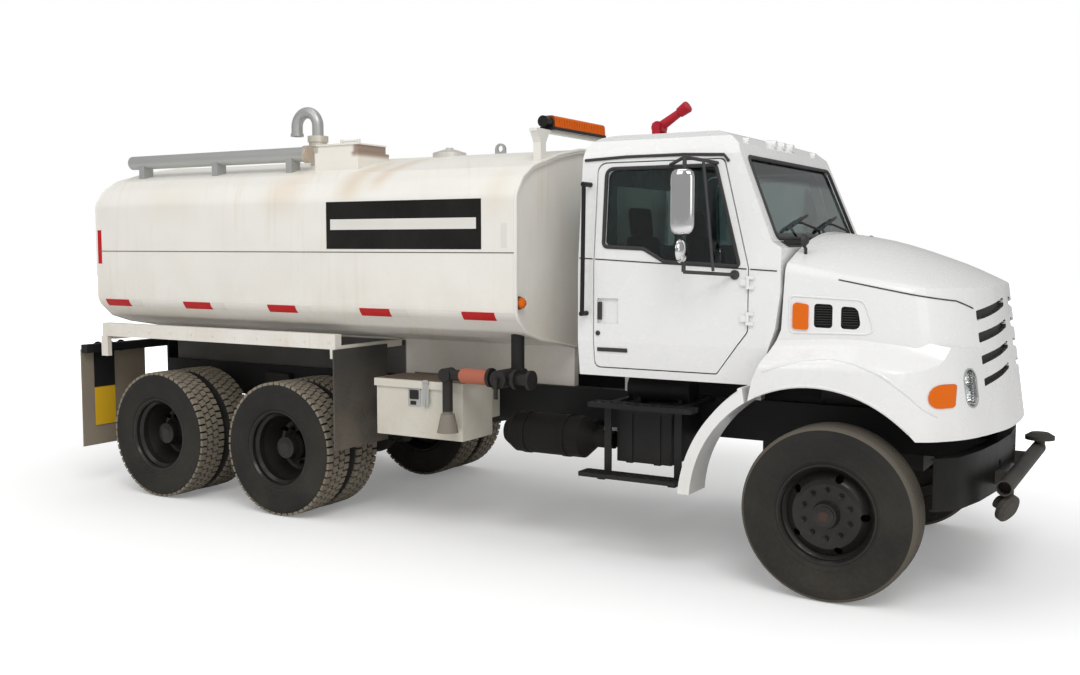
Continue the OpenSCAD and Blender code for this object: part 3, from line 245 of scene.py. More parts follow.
class EffectGroups:
    """Shader node groups that several finishes share."""

    def __init__(self) -> None:
        """Builds every group once."""
        self.dust = self._dust()
        self.streaks = self._streaks()
        self.grain = self._grain()
        self.patches = self._patches()
        self.weave = self._weave()

    @staticmethod
    def _open(name: str, inputs: dict[str, float],
              outputs: Sequence[str]) -> tuple[Graph, bpy.types.Node, bpy.types.Node]:
        """Starts a group with float sockets.

        Args:
            name: The group's name.
            inputs: Input names with their starting values.
            outputs: Output names.

        Returns:
            The graph, the group's input node and its output node.
        """
        tree = bpy.data.node_groups.new(name, "ShaderNodeTree")
        for key, value in inputs.items():
            tree.interface.new_socket(key, in_out="INPUT",
                                      socket_type="NodeSocketFloat").default_value = value
        for key in outputs:
            tree.interface.new_socket(key, in_out="OUTPUT", socket_type="NodeSocketFloat")
        graph = Graph(tree)
        return graph, graph.add("NodeGroupInput"), graph.add("NodeGroupOutput")

    def _dust(self) -> bpy.types.NodeTree:
        """Road dust that thins out with height and gathers in blotches.

        Returns:
            The group's tree.
        """
        graph, given, result = self._open(
            "road_dust", {"Low": 0.3, "High": 1.4, "Amount": 0.5, "Scale": 3.0, "Everywhere": 0.05},
            ["Mask"])
        place = graph.place()
        height = graph.add("ShaderNodeSeparateXYZ", Vector=place).outputs["Z"]
        fall = graph.ramp(height, given.outputs["High"], given.outputs["Low"])
        broad = graph.noise(place, given.outputs["Scale"], 5.0)
        fine = graph.noise(place, 46.0, 3.0)
        blotch = graph.ramp(graph.math("ADD", graph.math("MULTIPLY", broad, 0.75),
                                       graph.math("MULTIPLY", fine, 0.25)), 0.3, 0.7)
        level = graph.math("ADD", graph.math("MULTIPLY", fall, given.outputs["Amount"]),
                           given.outputs["Everywhere"])
        graph.feed(result, "Mask", graph.math("MULTIPLY", level, graph.math("ADD", blotch, 0.25), True))
        return graph.tree

    def _streaks(self) -> bpy.types.NodeTree:
        """Run marks that water draws down an upright surface.

        Returns:
            The group's tree.
        """
        graph, given, result = self._open("run_marks", {"Width": 0.05, "Amount": 0.4}, ["Mask"])
        place = graph.place()
        parts = graph.add("ShaderNodeSeparateXYZ", Vector=place)
        along = graph.math("ADD", parts.outputs["X"], graph.math("MULTIPLY", parts.outputs["Y"], 0.7))
        fold = graph.math("DIVIDE", along, given.outputs["Width"])
        drawn = graph.add("ShaderNodeCombineXYZ", X=fold, Y=0.0,
                          Z=graph.math("MULTIPLY", parts.outputs["Z"], 1.3))
        thin = graph.ramp(graph.noise(drawn.outputs[0], 0.8, 4.0), 0.5, 0.78)
        broad = graph.ramp(graph.noise(place, 1.4, 3.0), 0.35, 0.7)
        marks = graph.math("MULTIPLY", thin, broad)
        graph.feed(result, "Mask", graph.math("MULTIPLY", marks, given.outputs["Amount"], True))
        return graph.tree

    def _grain(self) -> bpy.types.NodeTree:
        """Fine height of a painted, cast or moulded surface.

        Returns:
            The group's tree.
        """
        graph, given, result = self._open("fine_grain", {"Scale": 200.0, "Waviness": 0.3}, ["Height"])
        place = graph.place()
        fine = graph.noise(place, given.outputs["Scale"], 3.0)
        wave = graph.math("MULTIPLY", graph.noise(place, 3.0, 2.0), given.outputs["Waviness"])
        graph.feed(result, "Height", graph.math("ADD", fine, wave))
        return graph.tree

    def _weave(self) -> bpy.types.NodeTree:
        """Height of a plain-woven cloth.

        Returns:
            The group's tree.
        """
        graph, given, result = self._open("plain_weave", {"Scale": 90.0}, ["Height"])
        place = graph.place()
        parts = graph.add("ShaderNodeSeparateXYZ", Vector=place)
        flat = graph.add("ShaderNodeCombineXYZ",
                         X=graph.math("ADD", parts.outputs["X"], parts.outputs["Z"]), Y=parts.outputs["Y"])
        scale = given.outputs["Scale"]
        warp, weft = (graph.add("ShaderNodeTexWave", Vector=flat.outputs[0], Scale=scale,
                                bands_direction=way).outputs["Fac"] for way in "XY")
        graph.feed(result, "Height", graph.math("MULTIPLY", warp, weft))
        return graph.tree

    def _patches(self) -> bpy.types.NodeTree:
        """Patchy stain or rust with ragged edges.

        Returns:
            The group's tree.
        """
        graph, given, result = self._open("ragged_patches", {"Scale": 4.0, "Cover": 0.4, "Edge": 0.08},
                                          ["Mask"])
        place = graph.place()
        value = graph.noise(place, given.outputs["Scale"], 8.0, 0.65)
        low = graph.math("SUBTRACT", 1.0, given.outputs["Cover"])
        high = graph.math("ADD", low, given.outputs["Edge"])
        graph.feed(result, "Mask", graph.ramp(value, low, high))
        return graph.tree


@dataclass(frozen=True)
class Zone:
    """A box-shaped zone, in the part's frame, that a finish shows in another colour."""

    low: Point
    high: Point
    colour: Colour
    soft: float = 0.004
    strength: float = 1.0


ROUGH_SPREAD = 0.14
DUST_ROUGHNESS = 0.45
STAIN_ROUGHNESS = 0.3
COAT_ROUGHNESS = 0.08


@dataclass(frozen=True)
class Finish:
    """A weathered opaque surface.

    Attributes hold the clean colour, how dust, run marks and stains lie on it, a second colour for marked
    faces, such as a tyre's dusty tread and the painted shade inside the hood, and zones of other colours.
    """

    name: str
    colour: Colour
    roughness: float = 0.45
    metallic: float = 0.0
    coat: float = 0.0
    shine: float = 0.5
    dust: float = 0.35
    dust_colour: Colour = (0.36, 0.30, 0.23)
    dust_low: float = 0.35
    dust_high: float = 1.5
    everywhere: float = 0.03
    streaks: float = 0.0
    streak_width: float = 0.05
    streak_colour: Colour = (0.45, 0.36, 0.24)
    stain: float = 0.0
    stain_scale: float = 4.0
    stain_colour: Colour = (0.30, 0.13, 0.05)
    grain_scale: float = 180.0
    grain_depth: float = 0.05
    wave: float = 0.3
    shade: float = 0.06
    weave: float = 0.0
    second: Optional[Colour] = None
    zones: tuple[Zone, ...] = ()

    def build(self, groups: EffectGroups) -> bpy.types.Material:
        """Makes the material.

        Args:
            groups: The shared shader groups.

        Returns:
            The finished material.
        """
        material, graph, shader = start_material(self.name)
        place = graph.place()
        tone = graph.ramp(graph.noise(place, 2.2, 5.0), 0.25, 0.75)
        colour: object = graph.mix(tone, tuple(c * (1 - self.shade) for c in self.colour), self.colour)
        # Faces marked in second_tone take the second colour: dust on tyre treads, and painted shade inside
        # the hood shell.
        if self.second is not None:
            share = graph.add("ShaderNodeAttribute", attribute_name="second_tone").outputs["Fac"]
            colour = graph.mix(share, colour, self.second)
        vary = graph.math("MULTIPLY", graph.noise(place, 9.0, 4.0), ROUGH_SPREAD)
        rough: object = graph.math("ADD", vary, self.roughness - ROUGH_SPREAD / 2)
        if self.stain > 0:
            stain = self._group(graph, groups.patches, Scale=self.stain_scale, Cover=self.stain, Edge=0.10)
            colour = graph.mix(stain, colour, self.stain_colour)
            rough = graph.math("ADD", rough, graph.math("MULTIPLY", stain, STAIN_ROUGHNESS))
        if self.streaks > 0:
            run = self._group(graph, groups.streaks, Width=self.streak_width, Amount=self.streaks)
            colour = graph.mix(run, colour, self.streak_colour)
        dust = self._group(graph, groups.dust, Low=self.dust_low, High=self.dust_high, Amount=self.dust,
                           Everywhere=self.everywhere)
        colour = graph.mix(dust, colour, self.dust_colour)
        # Zones go over the dust; the tank paint's zone over the wheels is painted shade, the rest are
        # colours of parts, rust and dirt.
        for zone in self.zones:
            colour = graph.mix(self.inside(graph, place, zone), colour, zone.colour)
        rough = graph.math("ADD", rough, graph.math("MULTIPLY", dust, DUST_ROUGHNESS), True)
        graph.feed(shader, "Base Color", colour)
        graph.feed(shader, "Roughness", rough)
        shader.inputs["Metallic"].default_value = self.metallic
        shader.inputs["Specular IOR Level"].default_value = self.shine
        if self.coat > 0:
            shader.inputs["Coat Weight"].default_value = self.coat
            shader.inputs["Coat Roughness"].default_value = COAT_ROUGHNESS
        if self.weave > 0:
            height = self._group(graph, groups.weave, Scale=self.weave)
        else:
            height = self._group(graph, groups.grain, Scale=self.grain_scale, Waviness=self.wave)
        bump = graph.add("ShaderNodeBump", Strength=0.35, Distance=self.grain_depth * 0.01, Height=height)
        graph.feed(shader, "Normal", bump.outputs["Normal"])
        material.diffuse_color = (*self.colour, 1.0)
        return material

    @staticmethod
    def _group(graph: Graph, tree: bpy.types.NodeTree, **values: float) -> bpy.types.NodeSocket:
        """Places a shared group with its own values and gives its first output.

        Args:
            graph: The material's graph.
            tree: The shared group.
            values: The group's inputs by name.

        Returns:
            The group's first output.
        """
        node = graph.add("ShaderNodeGroup")
        node.node_tree = tree
        for key, value in values.items():
            node.inputs[key].default_value = value
        return node.outputs[0]

    @staticmethod
    def inside(graph: Graph, place: bpy.types.NodeSocket, zone: Zone) -> bpy.types.NodeSocket:
        """A mask that is one inside a zone's box.

        Args:
            graph: The material's graph.
            place: Object coordinates.
            zone: The zone.

        Returns:
            The mask's socket.
        """
        parts = graph.add("ShaderNodeSeparateXYZ", Vector=place)
        total: object = zone.strength
        for index in range(3):
            value = parts.outputs[index]
            above = graph.ramp(value, zone.low[index] - zone.soft, zone.low[index] + zone.soft)
            below = graph.ramp(value, zone.high[index] + zone.soft, zone.high[index] - zone.soft)
            total = graph.math("MULTIPLY", total, graph.math("MULTIPLY", above, below))
        return total


@dataclass(frozen=True)
class ClearFinish:
    """Glass or a clear or tinted lens."""

    name: str
    colour: Colour
    roughness: float = 0.02
    transmission: float = 1.0
    ior: float = 1.45
    ribs: float = 0.0
    zones: tuple[Zone, ...] = ()

    def build(self, groups: EffectGroups) -> bpy.types.Material:
        """Makes the material.

        Args:
            groups: Not used; the shared shader groups.

        Returns:
            The finished material.
        """
        material, graph, shader = start_material(self.name)
        place = graph.place()
        film = graph.ramp(graph.noise(place, 5.0, 5.0), 0.45, 0.9)
        colour = graph.mix(film, self.colour, tuple(c * 0.9 for c in self.colour))
        for zone in self.zones:
            colour = graph.mix(Finish.inside(graph, place, zone), colour, zone.colour)
        graph.feed(shader, "Base Color", colour)
        graph.feed(shader, "Roughness",
                   graph.math("ADD", graph.math("MULTIPLY", film, 0.05), self.roughness))
        shader.inputs["Transmission Weight"].default_value = self.transmission
        shader.inputs["IOR"].default_value = self.ior
        if self.ribs > 0:
            wave = graph.add("ShaderNodeTexWave", Vector=place, Scale=self.ribs, bands_direction="Z")
            bump = graph.add("ShaderNodeBump", Strength=0.5, Distance=0.003, Height=wave.outputs["Fac"])
            graph.feed(shader, "Normal", bump.outputs["Normal"])
        material.diffuse_color = (*self.colour, 0.5)
        return material


WHITE_DUST: Colour = (0.56, 0.50, 0.40)
RUST_RUN: Colour = (0.58, 0.40, 0.22)
OFF_WHITE: Colour = (0.76, 0.74, 0.69)
LAMP_BASE: Colour = (0.014, 0.014, 0.014)
HUB_RUST: Colour = (0.052, 0.024, 0.018)


def zone_at(low: Point, high: Point, colour: Colour, soft: float = 0.004, strength: float = 1.0) -> Zone:
    """A zone whose corners are given from the front axle."""
    return Zone(tuple(DATUM.at(*low)), tuple(DATUM.at(*high)), colour, soft, strength)


FINISHES: tuple[Finish | ClearFinish, ...] = (
    Finish("cab_paint", (0.79, 0.79, 0.78), 0.26, coat=0.5, dust=0.26, dust_colour=WHITE_DUST, dust_low=0.5,
           dust_high=1.6, everywhere=0.02, streaks=0.04, grain_depth=0.004, wave=0.5, shade=0.02,
           # The second colour is painted shade: near black on the hood shell's inside, underside and
           # rear-facing faces behind the nose.
           second=(0.030, 0.029, 0.028)),
    Finish("tank_paint", (0.80, 0.785, 0.735), 0.42, dust=0.32, dust_colour=(0.60, 0.50, 0.38),
           dust_low=1.1, dust_high=2.2, everywhere=0.07, streaks=0.36, streak_colour=(0.62, 0.49, 0.33),
           grain_depth=0.04, wave=2.0, shade=0.05,
           # The first zone is painted shade: the sill above the wheels is made near black for the shadow
           # there, with some dirt.
           zones=(zone_at((-6.30, -0.42, 0.95), (-3.62, 0.42, 1.335), (0.020, 0.018, 0.016), 0.008, 0.93),
                  zone_at((-3.62, -1.4, 2.42), (-3.44, -0.6, 2.72), RUST_RUN, 0.10, 0.42),
                  zone_at((-3.36, -1.3, 2.50), (-3.24, -0.5, 2.74), RUST_RUN, 0.07, 0.40),
                  zone_at((-4.30, -1.4, 2.35), (-4.02, -0.8, 2.66), (0.66, 0.52, 0.36), 0.13, 0.40),
                  zone_at((-2.32, -1.4, 2.30), (-2.16, -0.9, 2.60), (0.66, 0.54, 0.38), 0.10, 0.30),
                  zone_at((-5.60, -1.4, 2.30), (-5.10, -1.0, 2.48), (0.66, 0.56, 0.42), 0.16, 0.25))),
    Finish("box_paint", (0.66, 0.63, 0.55), 0.5, dust=0.40, dust_colour=(0.42, 0.36, 0.27), dust_low=0.6,
           dust_high=1.3, stain=0.20, stain_scale=9.0, stain_colour=(0.25, 0.16, 0.09),
           zones=(zone_at((-3.36, -1.085, 1.108), (-2.58, -0.60, 1.16), (0.12, 0.085, 0.06), 0.006),)),
    Finish("chassis_paint", (0.012, 0.012, 0.013), 0.5, shine=0.22, dust=0.12,
           dust_colour=(0.11, 0.095, 0.075), dust_high=1.1,
           zones=(zone_at((-6.395, -1.175, 0.52), (-6.383, -0.955, 0.860), (0.74, 0.44, 0.02)),)),
    Finish("bumper_paint", (0.007, 0.007, 0.007), 0.42, shine=0.15, dust=0.07,
           dust_colour=(0.12, 0.105, 0.085), dust_high=1.0),
    Finish("dark_metal", (0.014, 0.013, 0.013), 0.6, shine=0.25, dust=0.20, dust_colour=(0.12, 0.10, 0.08)),
    Finish("cast_metal", (0.06, 0.06, 0.063), 0.55, metallic=0.4, dust=0.2, dust_colour=(0.14, 0.12, 0.09)),
    Finish("muffler_steel", (0.006, 0.0058, 0.0055), 0.55, shine=0.12, dust=0.05,
           dust_colour=(0.10, 0.085, 0.065), stain=0.30, stain_colour=(0.030, 0.018, 0.012)),
    Finish("aluminium", (0.62, 0.63, 0.64), 0.30, metallic=1.0, dust=0.25),
    Finish("trim_plastic", (0.020, 0.020, 0.021), 0.55, dust=0.05, grain_scale=420.0),
    Finish("seat_fabric", (0.055, 0.057, 0.063), 0.88, dust=0.0, weave=90.0, grain_depth=0.10),
    Finish("spray_metal", (0.028, 0.026, 0.024), 0.55, shine=0.3, dust=0.34,
           dust_colour=(0.18, 0.155, 0.12), dust_low=0.3, dust_high=1.1),
    Finish("flap_rubber", (0.040, 0.039, 0.037), 0.75, dust=0.50, dust_colour=(0.26, 0.21, 0.155),
           dust_low=0.2, dust_high=1.5,
           zones=(zone_at((-6.50, -1.4, 0.3), (-6.30, 1.4, 1.25), (0.30, 0.25, 0.185), 0.01, 0.75),)),
    Finish("galvanised", (0.50, 0.51, 0.50), 0.42, metallic=0.65, dust=0.1, dust_high=3.2, dust_low=2.6,
           dust_colour=(0.50, 0.47, 0.41),
           zones=(zone_at((-4.42, -0.70, 2.60), (-4.22, -0.50, 2.955), (0.74, 0.69, 0.60)),
                  zone_at((-4.205, -0.93, 2.70), (-4.18, -0.77, 2.90), (0.70, 0.60, 0.50)),
                  zone_at((-3.42, -0.46, 2.70), (-3.08, -0.14, 2.85), OFF_WHITE))),
    Finish("rusty_steel", (0.84, 0.81, 0.74), 0.55, stain=0.26, stain_scale=6.0,
           stain_colour=(0.38, 0.20, 0.09), dust=0.1,
           zones=(zone_at((-3.75, -0.9, 2.76), (-3.66, -0.45, 2.90), (0.22, 0.12, 0.07), 0.02, 0.8),)),
    Finish("valve_iron", (0.013, 0.012, 0.012), 0.5, shine=0.3, dust=0.16, dust_colour=(0.14, 0.12, 0.09),
           zones=(zone_at((-2.545, -1.30, 1.10), (-2.315, -1.12, 1.27), (0.38, 0.115, 0.068)),
                  zone_at((-2.76, -1.28, 0.76), (-2.56, -1.08, 0.93), (0.26, 0.23, 0.19), 0.01, 0.8))),
    Finish("amber_lens", (0.72, 0.135, 0.003), 0.25, coat=0.10, shine=0.2, dust=0.03, everywhere=0.01,
           grain_scale=60.0, grain_depth=0.1,
           zones=(zone_at((-2.24, -0.95, 2.56), (-2.03, 0.12, 2.8920), OFF_WHITE),
                  zone_at((-2.24, -0.73, 2.8805), (-2.03, 0.12, 2.9055), LAMP_BASE),
                  zone_at((-2.24, -0.80, 2.8805), (-2.03, -0.689, 3.02), LAMP_BASE))),
    Finish("tail_red", (0.42, 0.010, 0.008), 0.16, coat=0.8, dust=0.10, grain_scale=60.0, grain_depth=0.1),
    Finish("monitor_red", (0.44, 0.009, 0.024), 0.4, shine=0.3, dust=0.0, everywhere=0.015),
    Finish("mirror_chrome", (0.78, 0.78, 0.78), 0.08, metallic=1.0, dust=0.0, everywhere=0.02,
           grain_depth=0.005),
    Finish("tyre", (0.016, 0.016, 0.0155), 0.85, shine=0.25, dust=0.34, dust_colour=(0.085, 0.074, 0.058),
           dust_low=-0.2, dust_high=1.5, everywhere=0.05, grain_scale=120.0, grain_depth=0.12,
           second=(0.245, 0.212, 0.165)),
    Finish("wheel_paint", (0.008, 0.008, 0.008), 0.30, coat=0.15, shine=0.25, dust=0.09,
           dust_colour=(0.13, 0.11, 0.085), dust_high=1.0,
           zones=(zone_at((-0.026, -1.24, 0.494), (0.026, -1.185, 0.546), HUB_RUST, 0.012),
                  zone_at((-0.026, 1.185, 0.494), (0.026, 1.24, 0.546), HUB_RUST, 0.012))),
    Finish("seam", (0.10, 0.085, 0.065), 0.6, dust=0.2, everywhere=0.1),
    Finish("red_tape", (0.50, 0.006, 0.010), 0.45, shine=0.15, dust=0.03, dust_colour=(0.45, 0.36, 0.27),
           dust_low=1.3, dust_high=2.3, everywhere=0.01, grain_scale=300.0),
    Finish("pale_tape", (0.74, 0.72, 0.68), 0.30, coat=0.3, dust=0.22, dust_colour=(0.55, 0.46, 0.34),
           dust_low=1.3, dust_high=2.3, everywhere=0.06, grain_scale=300.0),
    Finish("panel_black", (0.005, 0.005, 0.0055), 0.38, shine=0.18, dust=0.02,
           dust_colour=(0.25, 0.21, 0.16), dust_low=1.3, dust_high=2.6, streaks=0.04),
    ClearFinish("glass", (0.19, 0.25, 0.245)),
    ClearFinish("screen_glass", (0.40, 0.49, 0.47),
                zones=(zone_at((-0.92, -1.1, 2.50), (-0.40, 1.1, 2.75), (0.07, 0.09, 0.10), 0.025),
                       zone_at((-0.70, -1.1, 2.00), (-0.30, 1.1, 2.165), (0.012, 0.013, 0.014), 0.012))),
    ClearFinish("lamp_glass", (0.92, 0.94, 0.95), 0.03, ribs=22.0),
)


class Paintbox:
    """All finishes by name."""

    def __init__(self) -> None:
        """Builds every material once."""
        groups = EffectGroups()
        self.materials = {finish.name: finish.build(groups) for finish in FINISHES}

    def dress_nodes(self, frame: dict) -> None:
        """Gives every CAD node the finish of its slot, and the cab's glass the screen glass.
        """
        slots = {item["node"]: item["material_slot"] for item in frame["record"]["subparts"]}
        for name, obj in frame["nodes"].items():
            obj.data.materials.clear()
            finish = "screen_glass" if name == "cab_glass" else slots[name]
            obj.data.materials.append(self.materials[finish])
            log.info("dressed %s in %s", name, finish)


class Skin:
    """Feels the surface of CAD nodes, so that trim lies on it."""

    SIDE_REACH = 3.0
    END_REACH = 6.0

    def __init__(self, frame: dict, names: Sequence[str]) -> None:
        """Reads the nodes' triangles.

        Args:
            names: The nodes whose surface is felt.
        """
        points: list[Vector] = []
        faces: list[tuple[int, ...]] = []
        for name in names:
            mesh = frame["nodes"][name].data
            start = len(points)
            points.extend(v.co.copy() for v in mesh.vertices)
            faces.extend(tuple(start + i for i in p.vertices) for p in mesh.polygons)
        self.tree = BVHTree.FromPolygons(points, faces)

    def touch(self, axis: Axis, u: float, v: float, lift: float = 0.0) -> Vector:
        """Finds the surface along an axis.

        Args:
            axis: The direction that the surface is felt from.
            u: First free coordinate in the part's frame (X, or Y for a front or back touch).
            v: Second free coordinate (Z, or Y for a touch from the top).
            lift: How far above the surface the point lies.

        Returns:
            The point on or above the surface.
        """
        way = Vector(axis.value)
        if axis in (Axis.FROM_RIGHT, Axis.FROM_LEFT):
            start = Vector((u, 0.0, v)) - way * self.SIDE_REACH
        elif axis in (Axis.FROM_FRONT, Axis.FROM_BACK):
            start = Vector((0.0, u, v)) - way * self.END_REACH
        else:
            start = Vector((u, v, 0.0)) - way * self.END_REACH
        hit, normal, _, _ = self.tree.ray_cast(start, way)
        if hit is None:
            raise ValueError(f"no surface at {u:.3f}, {v:.3f} from {axis.name}")
        if normal.dot(way) > 0:
            normal = -normal
        return hit + normal * lift

    def hug(self, path: Sequence[Vector], out: Vector, step: float, lift: float) -> list[Vector]:
        """Lays a path of straight pieces on the surface.

        Args:
            path: Corners of the path, near the surface.
            out: A shift that brings them outside the surface.
            step: Length of the laid pieces.
            lift: How far above the surface the result lies.

        Returns:
            The laid path.
        """
        laid: list[Vector] = []
        for a, b in zip(path, path[1:]):
            count = max(1, round((b - a).length / step))
            for k in range(count + (b is path[-1])):
                hit, normal, _, _ = self.tree.find_nearest(a.lerp(b, k / count) + out)
                laid.append(hit + normal * lift)
        return laid


class Mould:
    """Collects the faces of one piece."""

    def __init__(self) -> None:
        """Starts an empty mesh."""
        self.bm = bmesh.new()

    def box(self, low: Point, high: Point, bevel: float = 0.0) -> None:
        """Adds a box from the front-axle datum, with its edges rounded.

        Args:
            low: Lowest corner.
            high: Highest corner.
            bevel: Width of the edge rounding.
        """
        made = bmesh.ops.create_cube(self.bm, size=1.0)["verts"]
        middle = (DATUM.at(*low) + DATUM.at(*high)) / 2
        for vert in made:
            vert.co = Vector([vert.co[i] * abs(high[i] - low[i]) for i in range(3)]) + middle
        if bevel > 0:
            edges = list({e for vert in made for e in vert.link_edges})
            bmesh.ops.bevel(self.bm, geom=edges, offset=bevel, segments=2, affect="EDGES", profile=0.6)

    def _ring(self, middle: Vector, up: Vector, across: Vector, sides: int) -> list[bmesh.types.BMVert]:
        """Adds the points of a ring, whose radii are given as two vectors."""
        turns = [2 * math.pi * k / sides for k in range(sides)]
        return [self.bm.verts.new(middle + up * math.cos(t) + across * math.sin(t)) for t in turns]

    def tube(self, path: Sequence[Vector], radius: float, sides: int = 12, closed: bool = False) -> None:
        """Adds a round bar along a path.

        Args:
            path: Points in the part's frame.
            radius: Radius of the bar.
            sides: Number of sides.
            closed: Whether the path is a loop.
        """
        count = len(path)
        rings: list[list[bmesh.types.BMVert]] = []
        up: Optional[Vector] = None
        for i, point in enumerate(path):
            ahead = path[(i + 1) % count] if closed or i + 1 < count else point
            behind = path[i - 1] if closed or i > 0 else point
            along = (ahead - behind).normalized()
            if up is None:
                up = along.orthogonal().normalized()
            up = (up - along * up.dot(along)).normalized()
            rings.append(self._ring(point, up * radius, along.cross(up) * radius, sides))
        last = count if closed else count - 1
        for i in range(last):
            a, b = rings[i], rings[(i + 1) % count]
            for k in range(sides):
                self.bm.faces.new((a[k], a[(k + 1) % sides], b[(k + 1) % sides], b[k]))
        if not closed:
            self.bm.faces.new(rings[0][::-1])
            self.bm.faces.new(rings[-1])

    def lathe(self, profile: Sequence[tuple[float, float]], centre: Vector, axis: Vector, sides: int = 48,
              closed: bool = False) -> None:
        """Adds a turned shape.

        Args:
            profile: Pairs of radius and place along the axis.
            centre: Where the axis starts.
            axis: The axis, of length one.
            sides: Number of sides.
            closed: Whether the profile is a loop.
        """
        up = axis.orthogonal().normalized()
        across = axis.cross(up)
        rings: list[list[bmesh.types.BMVert]] = []
        for radius, along in profile:
            base = centre + axis * along
            if radius < 1e-6:
                rings.append([self.bm.verts.new(base)])
                continue
            rings.append(self._ring(base, up * radius, across * radius, sides))
        pairs = list(zip(rings, rings[1:])) + ([(rings[-1], rings[0])] if closed else [])
        for a, b in pairs:
            for k in range(sides):
                n = (k + 1) % sides
                if len(a) == 1 and len(b) > 1:
                    self.bm.faces.new((a[0], b[n], b[k]))
                elif len(b) == 1 and len(a) > 1:
                    self.bm.faces.new((a[k], a[n], b[0]))
                elif len(a) > 1:
                    self.bm.faces.new((a[k], a[n], b[n], b[k]))

    def absorb(self, mesh: bpy.types.Mesh, place: Matrix) -> None:
        """Adds a grown mesh, moved to its place, and drops it.

        Args:
            mesh: The mesh.
            place: Its place in the part's frame.
        """
        mesh.transform(place)
        self.bm.from_mesh(mesh)
        bpy.data.meshes.remove(mesh)

    def prism(self, outline: Sequence[Vector], depth: Vector) -> None:
        """Adds a flat outline drawn out along a vector.

        Args:
            outline: Points in the part's frame.
            depth: How far and which way it is drawn out.
        """
        low = [self.bm.verts.new(p) for p in outline]
        high = [self.bm.verts.new(p + depth) for p in outline]
        self.bm.faces.new(low[::-1])
        self.bm.faces.new(high)
        count = len(outline)
        for i in range(count):
            n = (i + 1) % count
            self.bm.faces.new((low[i], low[n], high[n], high[i]))

    def cup(self, rings: Sequence[Sequence[Vector]]) -> None:
        """Adds a closed wall through rings of points, capped at both ends of the list.

        Args:
            rings: Rings with the same number of points, in the part's frame.
        """
        made = [[self.bm.verts.new(p) for p in ring] for ring in rings]
        count = len(made[0])
        for a, b in zip(made, made[1:]):
            for k in range(count):
                n = (k + 1) % count
                self.bm.faces.new((a[k], a[n], b[n], b[k]))
        self.bm.faces.new(made[0][::-1])
        self.bm.faces.new(made[-1])

    def pad(self, centre: Vector, along: Vector, across: Vector, crown: float, sag: float,
            channels: Sequence[float], piping: float = 0.006) -> None:
        """Adds a crowned pad with sewn channels and piping round its edge.

        Args:
            centre: Middle of the pad's seam plane, in the part's frame.
            along: Half length of the pad.
            across: Half width of the pad.
            crown: Height of the face above the seam plane.
            sag: Depth of the back below it.
            channels: Places of the sewn channels along the pad, from -1 to 1.
            piping: Radius of the edge piping.
        """
        steps = 36
        up = along.cross(across).normalized()
        values = [-math.cos(math.pi * k / steps) for k in range(steps + 1)]

        def spot(u: float, v: float) -> Vector:
            """Point of the seam plane, whose sides pull in between the corners.

            Args:
                u: Place along the pad, from -1 to 1.
                v: Place across it, from -1 to 1.

            Returns:
                The point, in the part's frame.
            """
            round_off = 1 - 0.035 * (u * u * v * v)
            far = u * (1 - 0.035 * (1 - v * v)) * round_off
            wide = v * (1 - 0.045 * (1 - u * u)) * round_off
            return centre + along * far + across * wide

        def rise(u: float, v: float) -> float:
            """Share of the full height.

            Args:
                u: Place along the pad, from -1 to 1.
                v: Place across it, from -1 to 1.

            Returns:
                The share, from 0 to 1.
            """
            edge = max(0.0, (1 - u ** 8) * (1 - v ** 8)) ** 0.34
            fold = sum(0.17 * math.exp(-((u - c) / 0.045) ** 2) for c in channels)
            welt = 0.13 * math.exp(-((abs(v) - 0.72) / 0.04) ** 2)
            return edge * (0.84 + 0.16 * (1 - u * u) * (1 - v * v)) * (1 - fold - welt)

        grid = {}
        for face, height in ((1, crown), (-1, sag)):
            for i, u in enumerate(values):
                for j, v in enumerate(values):
                    if face < 0 and (i in (0, steps) or j in (0, steps)):
                        grid[face, i, j] = grid[1, i, j]
                    else:
                        grid[face, i, j] = self.bm.verts.new(spot(u, v) + up * (face * height * rise(u, v)))
        for face in (1, -1):
            for i in range(steps):
                for j in range(steps):
                    corners = ((i, j), (i + 1, j), (i + 1, j + 1), (i, j + 1))
                    ring = [grid[face, *corner] for corner in corners]
                    self.bm.faces.new(ring if face > 0 else ring[::-1])
        rim = ([(u, -1.0) for u in values] + [(1.0, v) for v in values[1:]]
               + [(u, 1.0) for u in values[-2::-1]] + [(-1.0, v) for v in values[-2:0:-1]])
        self.tube([spot(u, v) for u, v in rim], piping, 8, True)

    def patch(self, skin: Skin, axis: Axis, us: Sequence[float], vs: Sequence[float], thick: float,
              sink: float = 0.004) -> None:
        """Adds a thin plate that follows a surface.

        Args:
            skin: The surface.
            axis: The direction that it is felt from.
            us: First coordinates of the plate's grid, in the part's frame.
            vs: Second coordinates of the plate's grid.
            thick: How far the plate stands out.
            sink: How far its back lies in the surface.
        """
        top = [[self.bm.verts.new(skin.touch(axis, u, v, thick)) for v in vs] for u in us]
        low = [[self.bm.verts.new(skin.touch(axis, u, v, -sink)) for v in vs] for u in us]
        m, n = len(us), len(vs)
        for i in range(m - 1):
            for j in range(n - 1):
                self.bm.faces.new((top[i][j], top[i + 1][j], top[i + 1][j + 1], top[i][j + 1]))
                self.bm.faces.new((low[i][j], low[i][j + 1], low[i + 1][j + 1], low[i + 1][j]))
        rim = ([(i, 0) for i in range(m)] + [(m - 1, j) for j in range(1, n)]
               + [(i, n - 1) for i in range(m - 2, -1, -1)] + [(0, j) for j in range(n - 2, 0, -1)])
        for k, (i, j) in enumerate(rim):
            a, b = rim[(k + 1) % len(rim)]
            self.bm.faces.new((top[i][j], low[i][j], low[a][b], top[a][b]))

